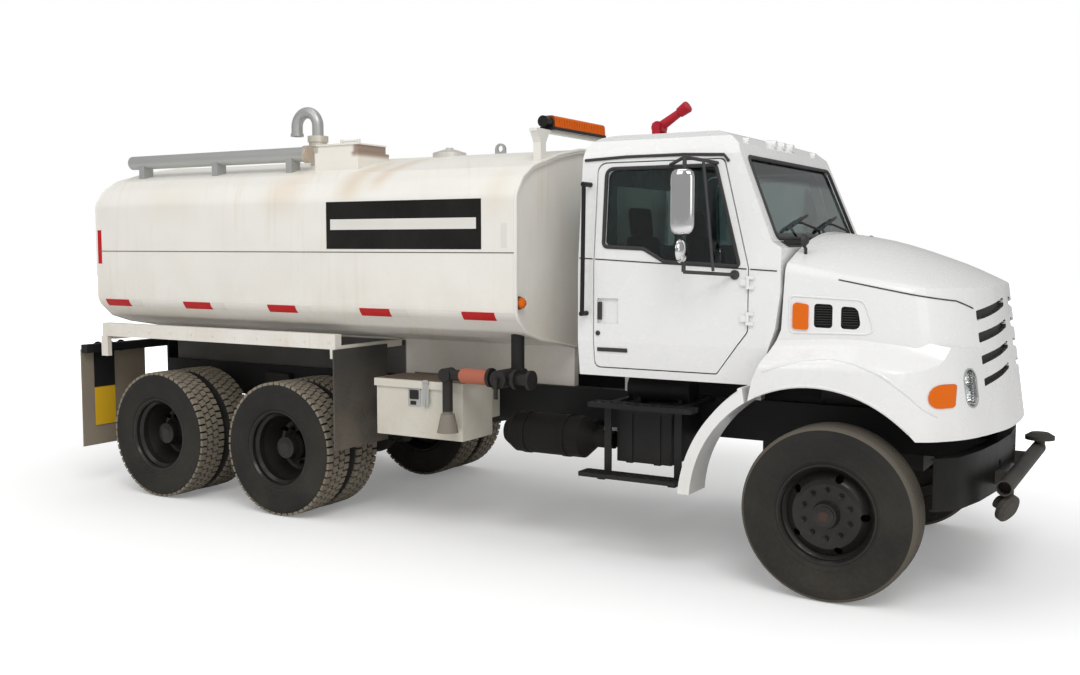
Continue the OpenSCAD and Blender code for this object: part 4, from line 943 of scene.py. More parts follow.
    def rail(self, skin: Skin, axis: Axis, points: Sequence[tuple[float, float]], radius: float,
             closed: bool = True, lift: float = 0.0, sides: int = 8) -> None:
        """Adds a bead that runs over a surface.

        Args:
            skin: The surface.
            axis: The direction that it is felt from.
            points: Pairs of free coordinates in the part's frame.
            radius: Radius of the bead.
            closed: Whether the bead is a loop.
            lift: How far its middle lies above the surface.
            sides: Number of sides of the bead.
        """
        self.tube([skin.touch(axis, u, v, lift) for u, v in points], radius, sides, closed)


def rounded(points: Sequence[tuple[float, float, float]], steps: int = 5) -> list[tuple[float, float]]:
    """Rounds the corners of a flat outline.

    Args:
        points: Corners with their radius.
        steps: Number of pieces in each rounded corner.

    Returns:
        The outline's points.
    """
    result: list[tuple[float, float]] = []
    count = len(points)
    for i, (x, y, radius) in enumerate(points):
        here = Vector((x, y))
        if radius <= 0:
            result.append((x, y))
            continue
        a = (Vector(points[i - 1][:2]) - here).normalized()
        b = (Vector(points[(i + 1) % count][:2]) - here).normalized()
        half = a.angle(b) / 2
        reach = radius / math.tan(half)
        start, end = here + a * reach, here + b * reach
        for k in range(steps + 1):
            t = k / steps
            bend = start * (1 - t) ** 2 + here * 2 * t * (1 - t) + end * t ** 2
            result.append((bend.x, bend.y))
    return result


def dense(points: Sequence[tuple[float, float]], step: float) -> list[tuple[float, float]]:
    """Adds points along the sides of a closed outline so that none is longer than a step.

    Args:
        points: The outline's points.
        step: The longest piece.

    Returns:
        The outline with the added points.
    """
    result: list[tuple[float, float]] = []
    for i, start in enumerate(points):
        end = points[(i + 1) % len(points)]
        count = max(1, int(math.dist(start, end) / step))
        result.extend((start[0] + (end[0] - start[0]) * k / count,
                       start[1] + (end[1] - start[1]) * k / count) for k in range(count))
    return result


def spread(low: float, high: float, count: int) -> list[float]:
    """Evenly spaced values from low to high."""
    return [low + (high - low) * k / (count - 1) for k in range(count)]


def from_axle(places: Sequence[float]) -> list[float]:
    """Places along X given from the front axle, in the part's frame."""
    return [x + DATUM.shift for x in places]


def side_view(points: Sequence[tuple[float, float]]) -> list[tuple[float, float]]:
    """Side-view points given from the front axle, in the part's frame."""
    return [(x + DATUM.shift, z) for x, z in points]


class Workshop:
    """Turns moulds into finished pieces on their bodies."""

    def __init__(self, frame: dict, paints: Paintbox) -> None:
        """Keeps the frame and the finishes."""
        self.frame = frame
        self.paints = paints

    def skin(self, *names: str) -> Skin:
        """The surface of some CAD nodes."""
        return Skin(self.frame, names)

    def piece(self, name: str, mould: Mould, finish: str, body: str, slot: str = "", smooth: float = 35.0,
              replaces: Sequence[str] = ()) -> bpy.types.Object:
        """Makes the object of a piece.

        Args:
            name: The piece's name.
            mould: Its faces.
            finish: The name of its finish.
            body: The body that it rides on.
            slot: Not used; the record's slot, where it isn't the finish's own name.
            smooth: The angle below which edges are smooth, in degrees.
            replaces: CAD nodes that the piece stands for.

        Returns:
            The new object.
        """
        bm = mould.bm
        bmesh.ops.remove_doubles(bm, verts=bm.verts[:], dist=1e-5)
        bmesh.ops.recalc_face_normals(bm, faces=bm.faces[:])
        for face in bm.faces:
            face.smooth = True
        limit = math.radians(smooth)
        for edge in bm.edges:
            edge.smooth = len(edge.link_faces) == 2 and edge.calc_face_angle(0.0) < limit
        mesh = bpy.data.meshes.new(name)
        bm.to_mesh(mesh)
        bm.free()
        mesh.materials.append(self.paints.materials[finish])
        obj = bpy.data.objects.new(name, mesh)
        bpy.context.collection.objects.link(obj)
        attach(obj, body)
        if replaces:
            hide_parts(*replaces)
        log.info("made %s: %d faces on %s", name, len(mesh.polygons), body)
        return obj


class NodeForm:
    """A Geometry Nodes tree with named inputs, grown into a plain mesh."""

    def __init__(self, name: str, inputs: dict[str, tuple[str, object]]) -> None:
        """Starts the tree.

        Args:
            name: The tree's name.
            inputs: Input names with their socket type and starting value.
        """
        self.tree = bpy.data.node_groups.new(name, "GeometryNodeTree")
        for key, (kind, value) in inputs.items():
            socket = self.tree.interface.new_socket(key, in_out="INPUT", socket_type=kind)
            if value is not None:
                socket.default_value = value
        self.tree.interface.new_socket("Geometry", in_out="OUTPUT", socket_type="NodeSocketGeometry")
        self.graph = Graph(self.tree)
        self.given = self.graph.add("NodeGroupInput")

    def close(self, geometry: bpy.types.NodeSocket) -> None:
        """Ends the tree in Realize Instances and Set Material.

        Args:
            geometry: The geometry to end with.
        """
        real = self.graph.add("GeometryNodeRealizeInstances")
        self.graph.feed(real, 0, geometry)
        paint = self.graph.add("GeometryNodeSetMaterial", Material=self.given.outputs["Material"])
        self.graph.feed(paint, 0, real.outputs[0])
        out = self.graph.add("NodeGroupOutput")
        self.graph.feed(out, 0, paint.outputs[0])

    def grow(self, **values: object) -> bpy.types.Mesh:
        """Evaluates the tree.

        Args:
            values: Inputs by name, with spaces written as underscores.

        Returns:
            The resulting mesh.
        """
        seed = bpy.data.objects.new("seed", bpy.data.meshes.new("seed"))
        bpy.context.collection.objects.link(seed)
        modifier = seed.modifiers.new("form", "NODES")
        modifier.node_group = self.tree
        for item in self.tree.interface.items_tree:
            key = item.name.replace(" ", "_")
            if item.item_type == "SOCKET" and item.in_out == "INPUT" and key in values:
                modifier[item.identifier] = values[key]
        shown = seed.evaluated_get(bpy.context.evaluated_depsgraph_get())
        mesh = bpy.data.meshes.new_from_object(shown)
        bpy.data.objects.remove(seed)
        return mesh


class TreadRing(NodeForm):
    """Tread blocks set round a tyre."""

    def __init__(self) -> None:
        """Builds the tree."""
        number = "NodeSocketFloat"
        super().__init__("tread_ring", {
            "Blocks": ("NodeSocketInt", 52), "Radius": (number, 0.5), "Length": (number, 0.05),
            "Width": (number, 0.05), "Height": (number, 0.02), "Offset": (number, 0.0),
            "Turn": (number, 0.0), "Skew": (number, 0.0), "Material": ("NodeSocketMaterial", None)})
        g, given = self.graph, self.given.outputs
        size = g.add("ShaderNodeCombineXYZ", X=given["Height"], Y=given["Length"], Z=given["Width"])
        block = g.add("GeometryNodeMeshCube", Size=size.outputs[0])
        lean = g.add("ShaderNodeCombineXYZ", X=given["Skew"])
        leaning = g.add("GeometryNodeTransform", Rotation=lean.outputs[0])
        g.feed(leaning, 0, block.outputs[0])
        ring = g.add("GeometryNodeMeshCircle", Vertices=given["Blocks"], Radius=given["Radius"])
        place = g.add("GeometryNodeInputPosition")
        facing = g.add("FunctionNodeAlignRotationToVector", axis="X", Vector=place.outputs[0])
        spots = g.add("GeometryNodeInstanceOnPoints", Points=ring.outputs[0], Instance=leaning.outputs[0],
                      Rotation=facing.outputs[0])
        shift = g.add("ShaderNodeCombineXYZ", Z=given["Offset"])
        turn = g.add("ShaderNodeCombineXYZ", Z=given["Turn"])
        row = g.add("GeometryNodeTransform", Translation=shift.outputs[0], Rotation=turn.outputs[0])
        g.feed(row, 0, spots.outputs[0])
        self.close(row.outputs[0])


class LineRow(NodeForm):
    """A shape set at even steps along a line."""

    def __init__(self, name: str, sizes: dict[str, tuple[str, object]]) -> None:
        """Starts the tree.

        Args:
            name: The tree's name.
            sizes: Inputs of the shape, with their socket type and starting value.
        """
        vector = ("NodeSocketVector", None)
        super().__init__(name, {"Count": ("NodeSocketInt", 6), "Start": vector, "End": vector, **sizes,
                                "Turn": vector, "Material": ("NodeSocketMaterial", None)})

    def line_up(self, shape: bpy.types.NodeSocket) -> None:
        """Sets the shape from Start to End and ends the tree.

        Args:
            shape: The shape's geometry.
        """
        g, given = self.graph, self.given.outputs
        line = g.add("GeometryNodeMeshLine", mode="END_POINTS", Count=given["Count"])
        g.feed(line, "Start Location", given["Start"])
        g.feed(line, "Offset", given["End"])
        turn = g.add("FunctionNodeEulerToRotation", Euler=given["Turn"])
        spots = g.add("GeometryNodeInstanceOnPoints", Points=line.outputs[0], Instance=shape,
                      Rotation=turn.outputs[0])
        self.close(spots.outputs[0])


class StudRow(LineRow):
    """Bolt heads along a line."""

    def __init__(self) -> None:
        """Builds the tree."""
        number = "NodeSocketFloat"
        super().__init__("stud_row", {"Radius": (number, 0.01), "Height": (number, 0.01),
                                      "Corners": ("NodeSocketInt", 6)})
        given = self.given.outputs
        head = self.graph.add("GeometryNodeMeshCylinder", Vertices=given["Corners"], Radius=given["Radius"],
                              Depth=given["Height"])
        self.line_up(head.outputs["Mesh"])


class BladeRow(LineRow):
    """Flat bars along a line, such as louvres and ribs."""

    def __init__(self) -> None:
        """Builds the tree."""
        super().__init__("blade_row", {"Size": ("NodeSocketVector", None)})
        blade = self.graph.add("GeometryNodeMeshCube", Size=self.given.outputs["Size"])
        self.line_up(blade.outputs["Mesh"])


@dataclass
class Assembly(ABC):
    """A group of pieces that are made together."""

    shop: Workshop

    @abstractmethod
    def build(self) -> None:
        """Makes the pieces."""


@dataclass
class Tyres(Assembly):
    """Road tyres: ribbed at the front, blocked at the back."""

    radius: float = 0.520
    width: float = 0.280
    bead: float = 0.2868
    spacing: float = 0.330
    blocks: int = 54
    tread_depth: float = 0.018
    front_share: float = 0.42
    tread: TreadRing = field(default_factory=TreadRing)

    def build(self) -> None:
        """Makes the tyres of all six wheel sets."""
        for side in Side:
            front = Mould()
            self._ribbed(front, DATUM.at(0, side.value * DATUM.front_y, DATUM.axle_z), side)
            made = self.shop.piece(f"ribbed_tyre_{side.word}", front, "tyre", f"front_wheel_{side.word}",
                                   smooth=50, replaces=[f"tyre_front_{side.word}"])
            self._worn(made.data, 0.0, self.front_share)
            for word, x in (("mid", DATUM.mid_axle), ("rear", DATUM.rear_axle)):
                pair = Mould()
                for offset in (-self.spacing / 2, self.spacing / 2):
                    y = side.value * (DATUM.pair_y + offset)
                    self._blocked(pair, DATUM.at(x, y, DATUM.axle_z), side)
                made = self.shop.piece(f"block_tyres_{word}_{side.word}", pair, "tyre",
                                       f"{word}_wheels_{side.word}", smooth=50,
                                       replaces=[f"tyres_{word}_{side.word}"])
                self._worn(made.data, x, 1.0)

    def _worn(self, mesh: bpy.types.Mesh, axle: float, share: float) -> None:
        """Marks the dusty tread of a tyre.

        Args:
            mesh: The tyre's mesh.
            axle: Place of its axle, from the front axle.
            share: How much of the dusty tone the tread shows.
        """
        middle = DATUM.at(axle, 0.0, DATUM.axle_z)
        marks = mesh.attributes.new("second_tone", "FLOAT", "FACE")
        for face in mesh.polygons:
            reach = math.hypot(face.center.x - middle.x, face.center.z - middle.z)
            marks.data[face.index].value = share if reach > self.radius - self.tread_depth else 0.0

    def _wall(self) -> list[tuple[float, float]]:
        """Outer sidewall from the bead to the shoulder, as radius and half width.

        Returns:
            The profile's points.
        """
        half = self.width / 2
        return [(self.bead, 0.1040), (0.2998, 0.1040), (0.3000, 0.1180), (0.306, 0.1245), (0.3165, 0.1290),
                (0.319, 0.1310), (0.326, 0.1315), (0.329, 0.1300), (0.345, 0.1335), (0.348, 0.1345),
                (0.352, 0.1340), (0.375, half - 0.003), (0.4035, half - 0.0005), (0.425, half - 0.001),
                (0.448, half - 0.004), (0.451, half - 0.003), (0.456, half - 0.0045), (0.472, half - 0.009),
                (0.488, half - 0.013)]

    def _ribbed(self, mould: Mould, centre: Vector, side: Side) -> None:
        """Adds a front tyre with five ribs.

        Args:
            mould: The faces to add to.
            centre: Middle of the tyre, in the part's frame.
            side: The truck's side.
        """
        r, deep = self.radius, self.radius - 0.014
        crown: list[tuple[float, float]] = [(r - 0.022, 0.1235), (r - 0.010, 0.1165), (r - 0.003, 0.104),
                                            (r - 0.001, 0.096)]
        for s in (0.062, 0.021, -0.021, -0.062):
            crown += [(r, s + 0.0065), (deep, s + 0.004), (deep, s - 0.004), (r, s - 0.0065)]
        crown += [(r - 0.001, -0.096), (r - 0.003, -0.104), (r - 0.010, -0.1165), (r - 0.022, -0.1235)]
        wall = self._wall()
        profile = wall + crown + [(a, -s) for a, s in reversed(wall)]
        mould.lathe(profile, centre, Vector((0, side.value, 0)), 96, closed=True)

    def _blocked(self, mould: Mould, centre: Vector, side: Side) -> None:
        """Adds a rear tyre with four rows of blocks.

        Args:
            mould: The faces to add to.
            centre: Middle of the tyre, in the part's frame.
            side: The truck's side.
        """
        r = self.radius
        wall = self._wall()
        crown = [(r - 0.026, 0.1235), (r - 0.019, 0.112), (r - 0.017, 0.0), (r - 0.019, -0.112),
                 (r - 0.026, -0.1235)]
        mould.lathe(wall + crown + [(a, -s) for a, s in reversed(wall)], centre, Vector((0, side.value, 0)),
                    80, closed=True)
        pitch = 2 * math.pi / self.blocks
        turn = Matrix.Translation(centre) @ Matrix.Rotation(math.radians(90), 4, "X")
        rows = ((-0.092, 0.052), (-0.031, 0.048), (0.031, 0.048), (0.092, 0.052))
        for row, (offset, wide) in enumerate(rows):
            shoulder = row in (0, len(rows) - 1)
            ring = self.tread.grow(
                Blocks=self.blocks, Radius=r - (0.0140 if shoulder else 0.0123),
                Length=0.044 if shoulder else 0.046, Width=wide, Height=0.023, Offset=offset,
                Turn=pitch * (0.5 if row % 2 else 0.0), Skew=0.0 if shoulder else 0.30,
                Material=self.shop.paints.materials["tyre"])
            mould.absorb(ring, turn)


@dataclass
class CabTrim(Assembly):
    """Gaskets, wipers, belt lines, handles and mirrors of the cab and its doors."""

    gasket: float = 0.013
    handle_y: float = 1.014
    belt: float = 0.0042
    cowl_x: tuple[float, ...] = (-0.398, -0.372, -0.348)
    cowl_half: float = 0.86
    slot_half: float = 0.82
    slot_z: float = 2.103
    mirror_x: float = -0.865
    mirror_y: float = 1.292
    mirror_z: tuple[float, float] = (2.150, 2.540)
    arm_y: float = 1.262
    arm: float = 0.011
    post: float = 0.013
    window: tuple[tuple[float, float, float], ...] = (
        (-1.539, 2.076, 0.035), (-1.250, 2.063, 0.06), (-1.100, 1.981, 0.08), (-0.602, 1.957, 0.02),
        (-0.785, 2.579, 0.035), (-1.539, 2.579, 0.055))
    screen: tuple[tuple[float, float, float], ...] = (
        (0.893, 2.127, 0.045), (0.853, 2.633, 0.055), (-0.853, 2.633, 0.055), (-0.893, 2.127, 0.045))
    back_window: tuple[tuple[float, float, float], ...] = (
        (0.568, 2.072, 0.065), (0.568, 2.508, 0.065), (-0.568, 2.508, 0.065), (-0.568, 2.072, 0.065))

    def build(self) -> None:
        """Makes the trim of the cab and of both doors."""
        self._screens()
        self._cowl()
        self._wipers()
        for side in Side:
            self._door(side)
            self._mirror(side)
            self._posts(side)

    def _screens(self) -> None:
        """Rubber round the front and rear screens."""
        shell = self.shop.skin("cab_body", "cab_roof")
        mould = Mould()
        mould.rail(shell, Axis.FROM_FRONT, dense(rounded(self.screen), 0.12), self.gasket)
        mould.rail(shell, Axis.FROM_BACK, dense(rounded(self.back_window), 0.12), self.gasket)
        self.shop.piece("screen_rubber", mould, "trim_plastic", "chassis")

    def _cowl(self) -> None:
        """Black air-intake panel below the windshield, with its slots."""
        top = self.shop.skin("cab_body")
        mould = Mould()
        across = spread(-self.cowl_half, self.cowl_half, 25)
        mould.patch(top, Axis.FROM_TOP, from_axle(self.cowl_x), across, 0.006)
        ends = [tuple(DATUM.at(self.cowl_x[1], y, self.slot_z)) for y in (-self.slot_half, self.slot_half)]
        slats = BladeRow().grow(Count=58, Start=ends[0], End=ends[1], Size=(0.040, 0.008, 0.010),
                                Turn=(0.0, 0.62, 0.0), Material=self.shop.paints.materials["trim_plastic"])
        mould.absorb(slats, Matrix.Identity(4))
        self.shop.piece("cowl_panel", mould, "trim_plastic", "chassis")

    def _wipers(self) -> None:
        """Two wipers parked on the lower edge of the windshield."""
        glass = self.shop.skin("cab_glass")
        mould = Mould()
        for pivot, tip, blade in ((-0.02, -0.36, (-0.66, -0.12)), (0.66, 0.34, (0.02, 0.56))):
            base = DATUM.at(-0.385, pivot, 2.112)
            mould.lathe([(0.0, -0.02), (0.022, -0.02), (0.022, 0.012), (0.014, 0.022), (0.0, 0.022)], base,
                        Vector((0.5, 0, 0.866)), 16)
            hold = glass.touch(Axis.FROM_FRONT, tip, 2.215, 0.040)
            middle = (base + hold) / 2 + Vector((0.035, 0, 0.018))
            mould.tube([base, middle, hold], 0.008, 8)
            line = [glass.touch(Axis.FROM_FRONT, y, 2.175 + 0.10 * (k / 6), 0.020)
                    for k, y in enumerate(spread(*blade, 7))]
            mould.tube(line, 0.010, 6)
            mould.tube([p + Vector((0.016, 0, 0.012)) for p in line[1:6]], 0.006, 6)
            mould.tube([hold, line[3]], 0.008, 6)
        self.shop.piece("wipers", mould, "trim_plastic", "chassis")

    def _belt(self, side: Side, skin: Skin, low: float, high: float) -> Mould:
        """Dark line along the belt between two places.

        Args:
            side: The truck's side.
            skin: The surface under the line.
            low: Its rear end.
            high: Its front end.

        Returns:
            The line's faces.
        """
        mould = Mould()
        points = [(x + DATUM.shift, 2.002 - 0.052 * (x + 1.728)) for x in spread(low, high, 9)]
        mould.rail(skin, side.axis, points, self.belt, False, 0.0, 6)
        return mould

    def _posts(self, side: Side) -> None:
        """Belt line on the cab's posts and the drip rail over the door.

        Args:
            side: The truck's side.
        """
        skin = self.shop.skin("cab_body", "cab_roof")
        mould = self._belt(side, skin, -1.712, -1.612)
        front = self._belt(side, skin, -0.532, -0.365)
        self.shop.piece(f"belt_line_rear_{side.word}", mould, "trim_plastic", "chassis")
        self.shop.piece(f"belt_line_front_{side.word}", front, "trim_plastic", "chassis")
        drip = Mould()
        line = [(-1.700, 2.640), (-1.40, 2.652), (-1.00, 2.652), (-0.735, 2.642), (-0.700, 2.60)]
        drip.rail(skin, side.axis, side_view(line), 0.010, False, 0.004)
        self.shop.piece(f"drip_rail_{side.word}", drip, "trim_plastic", "chassis")

    def _door(self, side: Side) -> None:
        """Window rubber, handle, lock, moulding and belt line of a door.

        Args:
            side: The truck's side.
        """
        skin = self.shop.skin(f"door_{side.word}")
        body = f"door_{side.word}"
        rubber = Mould()
        outline = side_view(rounded(self.window))
        rubber.rail(skin, side.axis, dense(outline, 0.10), self.gasket)
        self.shop.piece(f"window_rubber_{side.word}", rubber, "trim_plastic", body)
        belt = self._belt(side, skin, -1.594, -0.556)
        self.shop.piece(f"belt_line_door_{side.word}", belt, "trim_plastic", body)
        black = Mould()
        black.patch(skin, side.axis, from_axle((-1.577, -1.36)), (1.393, 1.418), 0.006)
        y = side.value * self.handle_y
        black.box((-1.570, y - 0.012, 1.600), (-1.548, y + 0.012, 1.716), 0.004)
        lock = skin.touch(side.axis, -1.57 + DATUM.shift, 1.512)
        black.lathe([(0.0, 0.012), (0.012, 0.012), (0.016, 0.006), (0.016, -0.006)], lock,
                    Vector((0, side.value, 0)), 16)
        self.shop.piece(f"door_trim_{side.word}", black, "trim_plastic", body)

    def _mirror(self, side: Side) -> None:
        """Bright mirror head with its arms, and the round mirror below it.

        Args:
            side: The truck's side.
        """
        s = side.value
        head, arms, disc = Mould(), Mould(), Mould()
        turns = [math.radians(d) for d in range(0, 360, 12)]
        ends = ((0.34, 0.0), (0.64, 0.005), (0.86, 0.018), (0.96, 0.036), (1.0, 0.060))
        low, high = self.mirror_z
        levels = [(k, low + d) for k, d in ends] + [(k, high - d) for k, d in reversed(ends)]
        head.cup([[DATUM.at(self.mirror_x + 0.077 * k * math.cos(a),
                            s * self.mirror_y + 0.036 * k * math.sin(a), z) for a in turns]
                  for k, z in levels])
        top, above, below, under = (DATUM.at(self.mirror_x, s * self.arm_y, z)
                                    for z in (2.612, high, low, 1.925))
        door = self.shop.skin(f"door_{side.word}")
        for x, z in side_view(((-0.775, 2.592), (-1.090, 2.592))):
            arms.tube([top, door.touch(side.axis, x, z)], self.arm)
        foot = door.touch(side.axis, -0.630 + DATUM.shift, 1.905)
        arms.tube([under, foot], self.arm)
        arms.tube([top, above], self.post)
        arms.tube([below, under], self.post)
        arms.tube([DATUM.at(-0.75, s * 1.255, 2.600), DATUM.at(-0.70, s * 1.200, 1.93)], 0.009)
        arms.lathe([(0.0, 0.0), (0.03, 0.0), (0.03, 0.008), (0.0, 0.008)], foot, Vector((0, s, 0)), 16)
        middle = DATUM.at(self.mirror_x, s * 1.290, 2.052)
        disc.lathe([(0.0, 0.030), (0.040, 0.026), (0.066, 0.012), (0.073, 0.0), (0.073, -0.012),
                    (0.0, -0.012)], middle, Vector((1.0, 0, 0)), 28)
        body = f"door_{side.word}"
        self.shop.piece(f"mirror_head_{side.word}", head, "mirror_chrome", body, smooth=60,
                        replaces=[f"mirror_{side.word}"])
        self.shop.piece(f"mirror_arms_{side.word}", arms, "cast_metal", body)
        self.shop.piece(f"round_mirror_{side.word}", disc, "mirror_chrome", body)


@dataclass
class HoodTrim(Assembly):
    """Shell, beads, vents, lamps and small mirrors of the moulded hood."""

    arch: tuple[float, float, float] = (-0.100, 0.500, 0.768)
    panel: tuple[tuple[float, float, float], ...] = (
        (-0.292, 1.786, 0.03), (0.150, 1.768, 0.06), (0.222, 1.572, 0.05), (-0.285, 1.566, 0.03))
    ridge: tuple[tuple[float, float], ...] = (
        (-0.40, 1.342), (-0.30, 1.388), (-0.18, 1.426), (0.0, 1.444), (0.14, 1.424), (0.28, 1.370),
        (0.42, 1.274), (0.53, 1.176), (0.60, 1.130))
    bead: float = 0.011
    # Radius of the dark line along the crease between crown and nose, which is painted shade.
    line: float = 0.0042
    vents: tuple[tuple[float, float], ...] = ((-0.086, 0.112), (0.0675, 0.100))
    screen_y: float = 0.967
    blade_y: float = 0.983
    lamp_y: float = 0.778
    lamp_z: float = 1.269
    bulb_z: tuple[float, float] = (1.317, 1.221)

    def build(self) -> None:
        """Makes the shell and the trim of both sides."""
        self._shell()
        for side in Side:
            self._side(side)
            self._vents(side)
            self._lamp(side)
            self._spotter(side)

    def _shell(self) -> None:
        """Smooth copies of the hood, whose inside and underside are marked for painted shade, and of the
        bumper.
        """
        mould = Mould()
        mould.bm.from_mesh(self.shop.frame["nodes"]["hood"].data)
        shell = self.shop.piece("hood_shell", mould, "cab_paint", "hood", smooth=26, replaces=["hood"])
        bar = Mould()
        bar.bm.from_mesh(self.shop.frame["nodes"]["bumper"].data)
        self.shop.piece("bumper_skin", bar, "bumper_paint", "chassis", smooth=34, replaces=["bumper"])
        mesh = shell.data
        tree = BVHTree.FromPolygons([v.co.copy() for v in mesh.vertices],
                                    [tuple(p.vertices) for p in mesh.polygons])
        # Painted shade: faces inside the hood, under it and facing back behind the nose take the cab
        # paint's near-black second colour.
        marks = mesh.attributes.new("second_tone", "FLOAT", "FACE")
        for face in mesh.polygons:
            normal = face.normal
            hit = tree.ray_cast(face.center + normal * 0.002, normal, 3.0)[0]
            backs = normal.x < -0.4 and face.center.x > DATUM.shift
            marks.data[face.index].value = 1.0 if hit is not None or normal.z < -0.30 or backs else 0.0

    def _side(self, side: Side) -> None:
        """Panel bead, arch lip and flare ridge of one side, and a dark line of painted shade along the
        crease between crown and nose.

        Args:
            side: The truck's side.
        """
        skin = self.shop.skin("hood")
        bead = Mould()
        bead.rail(skin, side.axis, dense(side_view(rounded(self.panel)), 0.05), 0.007)
        x, z, reach = self.arch
        turns = [math.radians(d) for d in range(44, 117, 4)]
        lip = side_view([(x + reach * math.cos(a), z + reach * math.sin(a)) for a in turns])
        bead.rail(skin, side.axis, lip, self.bead, False)
        shift = Vector((0.0, side.value * 0.03, 0.0))
        course = [skin.touch(side.axis, x, z) for x, z in side_view(self.ridge)]
        bead.tube(skin.hug(course, shift, 0.03, -0.004), self.bead, 10)
        self.shop.piece(f"hood_beads_{side.word}", bead, "cab_paint", "hood")
        # Painted shade: a thin black line laid along the crease where the crown meets the nose, standing
        # for the crease's shading.
        line = Mould()
        path = [skin.touch(side.axis, x + DATUM.shift, 1.884 - 0.189 * x, 0.001)
                for x in spread(0.0, 0.62, 32)]
        turn = path[-1]
        for share in spread(0.08, 1.0, 12):
            y, z = abs(turn.y) + (0.645 - abs(turn.y)) * share, turn.z + (1.719 - turn.z) * share
            path.append(skin.touch(Axis.FROM_FRONT, side.value * y, z, 0.001))
        line.tube(path, self.line, 6)
        self.shop.piece(f"hood_line_{side.word}", line, "trim_plastic", "hood")

    def _vents(self, side: Side) -> None:
        """Screen and louvres behind the two side vents.

        Args:
            side: The truck's side.
        """
        s = side.value
        vents = Mould()
        y = s * self.screen_y
        vents.box((-0.152, y - 0.005, 1.585), (0.150, y + 0.005, 1.755), 0.002)
        for middle, long in self.vents:
            ends = [tuple(DATUM.at(middle, s * self.blade_y, z)) for z in (1.615, 1.718)]
            blades = BladeRow().grow(
                Count=8, Start=ends[0], End=ends[1], Size=(long, 0.020, 0.004), Turn=(0.6 * s, 0.0, 0.0),
                Material=self.shop.paints.materials["trim_plastic"])
            vents.absorb(blades, Matrix.Identity(4))
        self.shop.piece(f"vent_screen_{side.word}", vents, "trim_plastic", "hood")

    def _lamp(self, side: Side) -> None:
        """Housing, reflectors, bulbs and bezel of a head lamp.

        Args:
            side: The truck's side.
        """
        s = side.value
        skin = self.shop.skin("hood", "head_lamps")
        bend = [math.radians(d) for d in range(0, 360, 15)]

        def outline(half: float, rise: float) -> list[tuple[float, float]]:
            """Upright rounded outline about the lamp's middle."""
            return [(s * self.lamp_y + half * math.cos(a),
                     self.lamp_z + half * math.sin(a) + (rise if math.sin(a) >= 0 else -rise))
                    for a in bend]

        rim = [skin.touch(Axis.FROM_FRONT, y, z) for y, z in outline(0.0645, 0.045)]
        core = [skin.touch(Axis.FROM_FRONT, y, z) for y, z in outline(0.0570, 0.045)]
        bezel, cup, bowl = Mould(), Mould(), Mould()
        bezel.tube(rim, 0.0050, 8, True)
        back = Vector((-1.0, 0.0, 0.0))
        cup.cup([[p + back * 0.080 for p in core], [p + back * 0.027 for p in core],
                 [p + back * 0.027 for p in rim], [p + back * 0.092 for p in rim]])
        aim = Vector((0.94, s * 0.30, 0.12)).normalized()
        for z in self.bulb_z:
            spot = skin.touch(Axis.FROM_FRONT, s * self.lamp_y, z) + back * 0.036
            bowl.lathe([(0.0, -0.036), (0.018, -0.036), (0.036, -0.024), (0.046, 0.0), (0.049, 0.0),
                        (0.038, -0.030), (0.0, -0.042)], spot, aim, 24)
            bowl.lathe([(0.0, -0.034), (0.008, -0.034), (0.008, -0.014), (0.0, -0.010)], spot, aim, 12)
        self.shop.piece(f"lamp_bezel_{side.word}", bezel, "galvanised", "hood")
        self.shop.piece(f"lamp_cup_{side.word}", cup, "trim_plastic", "hood")
        self.shop.piece(f"lamp_bowls_{side.word}", bowl, "mirror_chrome", "hood")

    def _spotter(self, side: Side) -> None:
        """Small black mirror on the hood's rear corner.

        Args:
            side: The truck's side.
        """
        s = side.value
        skin = self.shop.skin("hood")
        foot = skin.touch(Axis.FROM_TOP, -0.26 + DATUM.shift, s * 0.80)
        mould = Mould()
        mould.tube([foot - Vector((0, 0, 0.004)), foot + Vector((0.0, 0, 0.03)),
                    foot + Vector((-0.012, 0, 0.05))], 0.010)
        mould.lathe([(0.0, 0.030), (0.020, 0.027), (0.036, 0.012), (0.040, 0.0), (0.040, -0.008),
                     (0.0, -0.008)], foot + Vector((-0.012, 0, 0.082)), Vector((1.0, 0, 0)), 20)
        self.shop.piece(f"hood_mirror_{side.word}", mould, "trim_plastic", "hood")


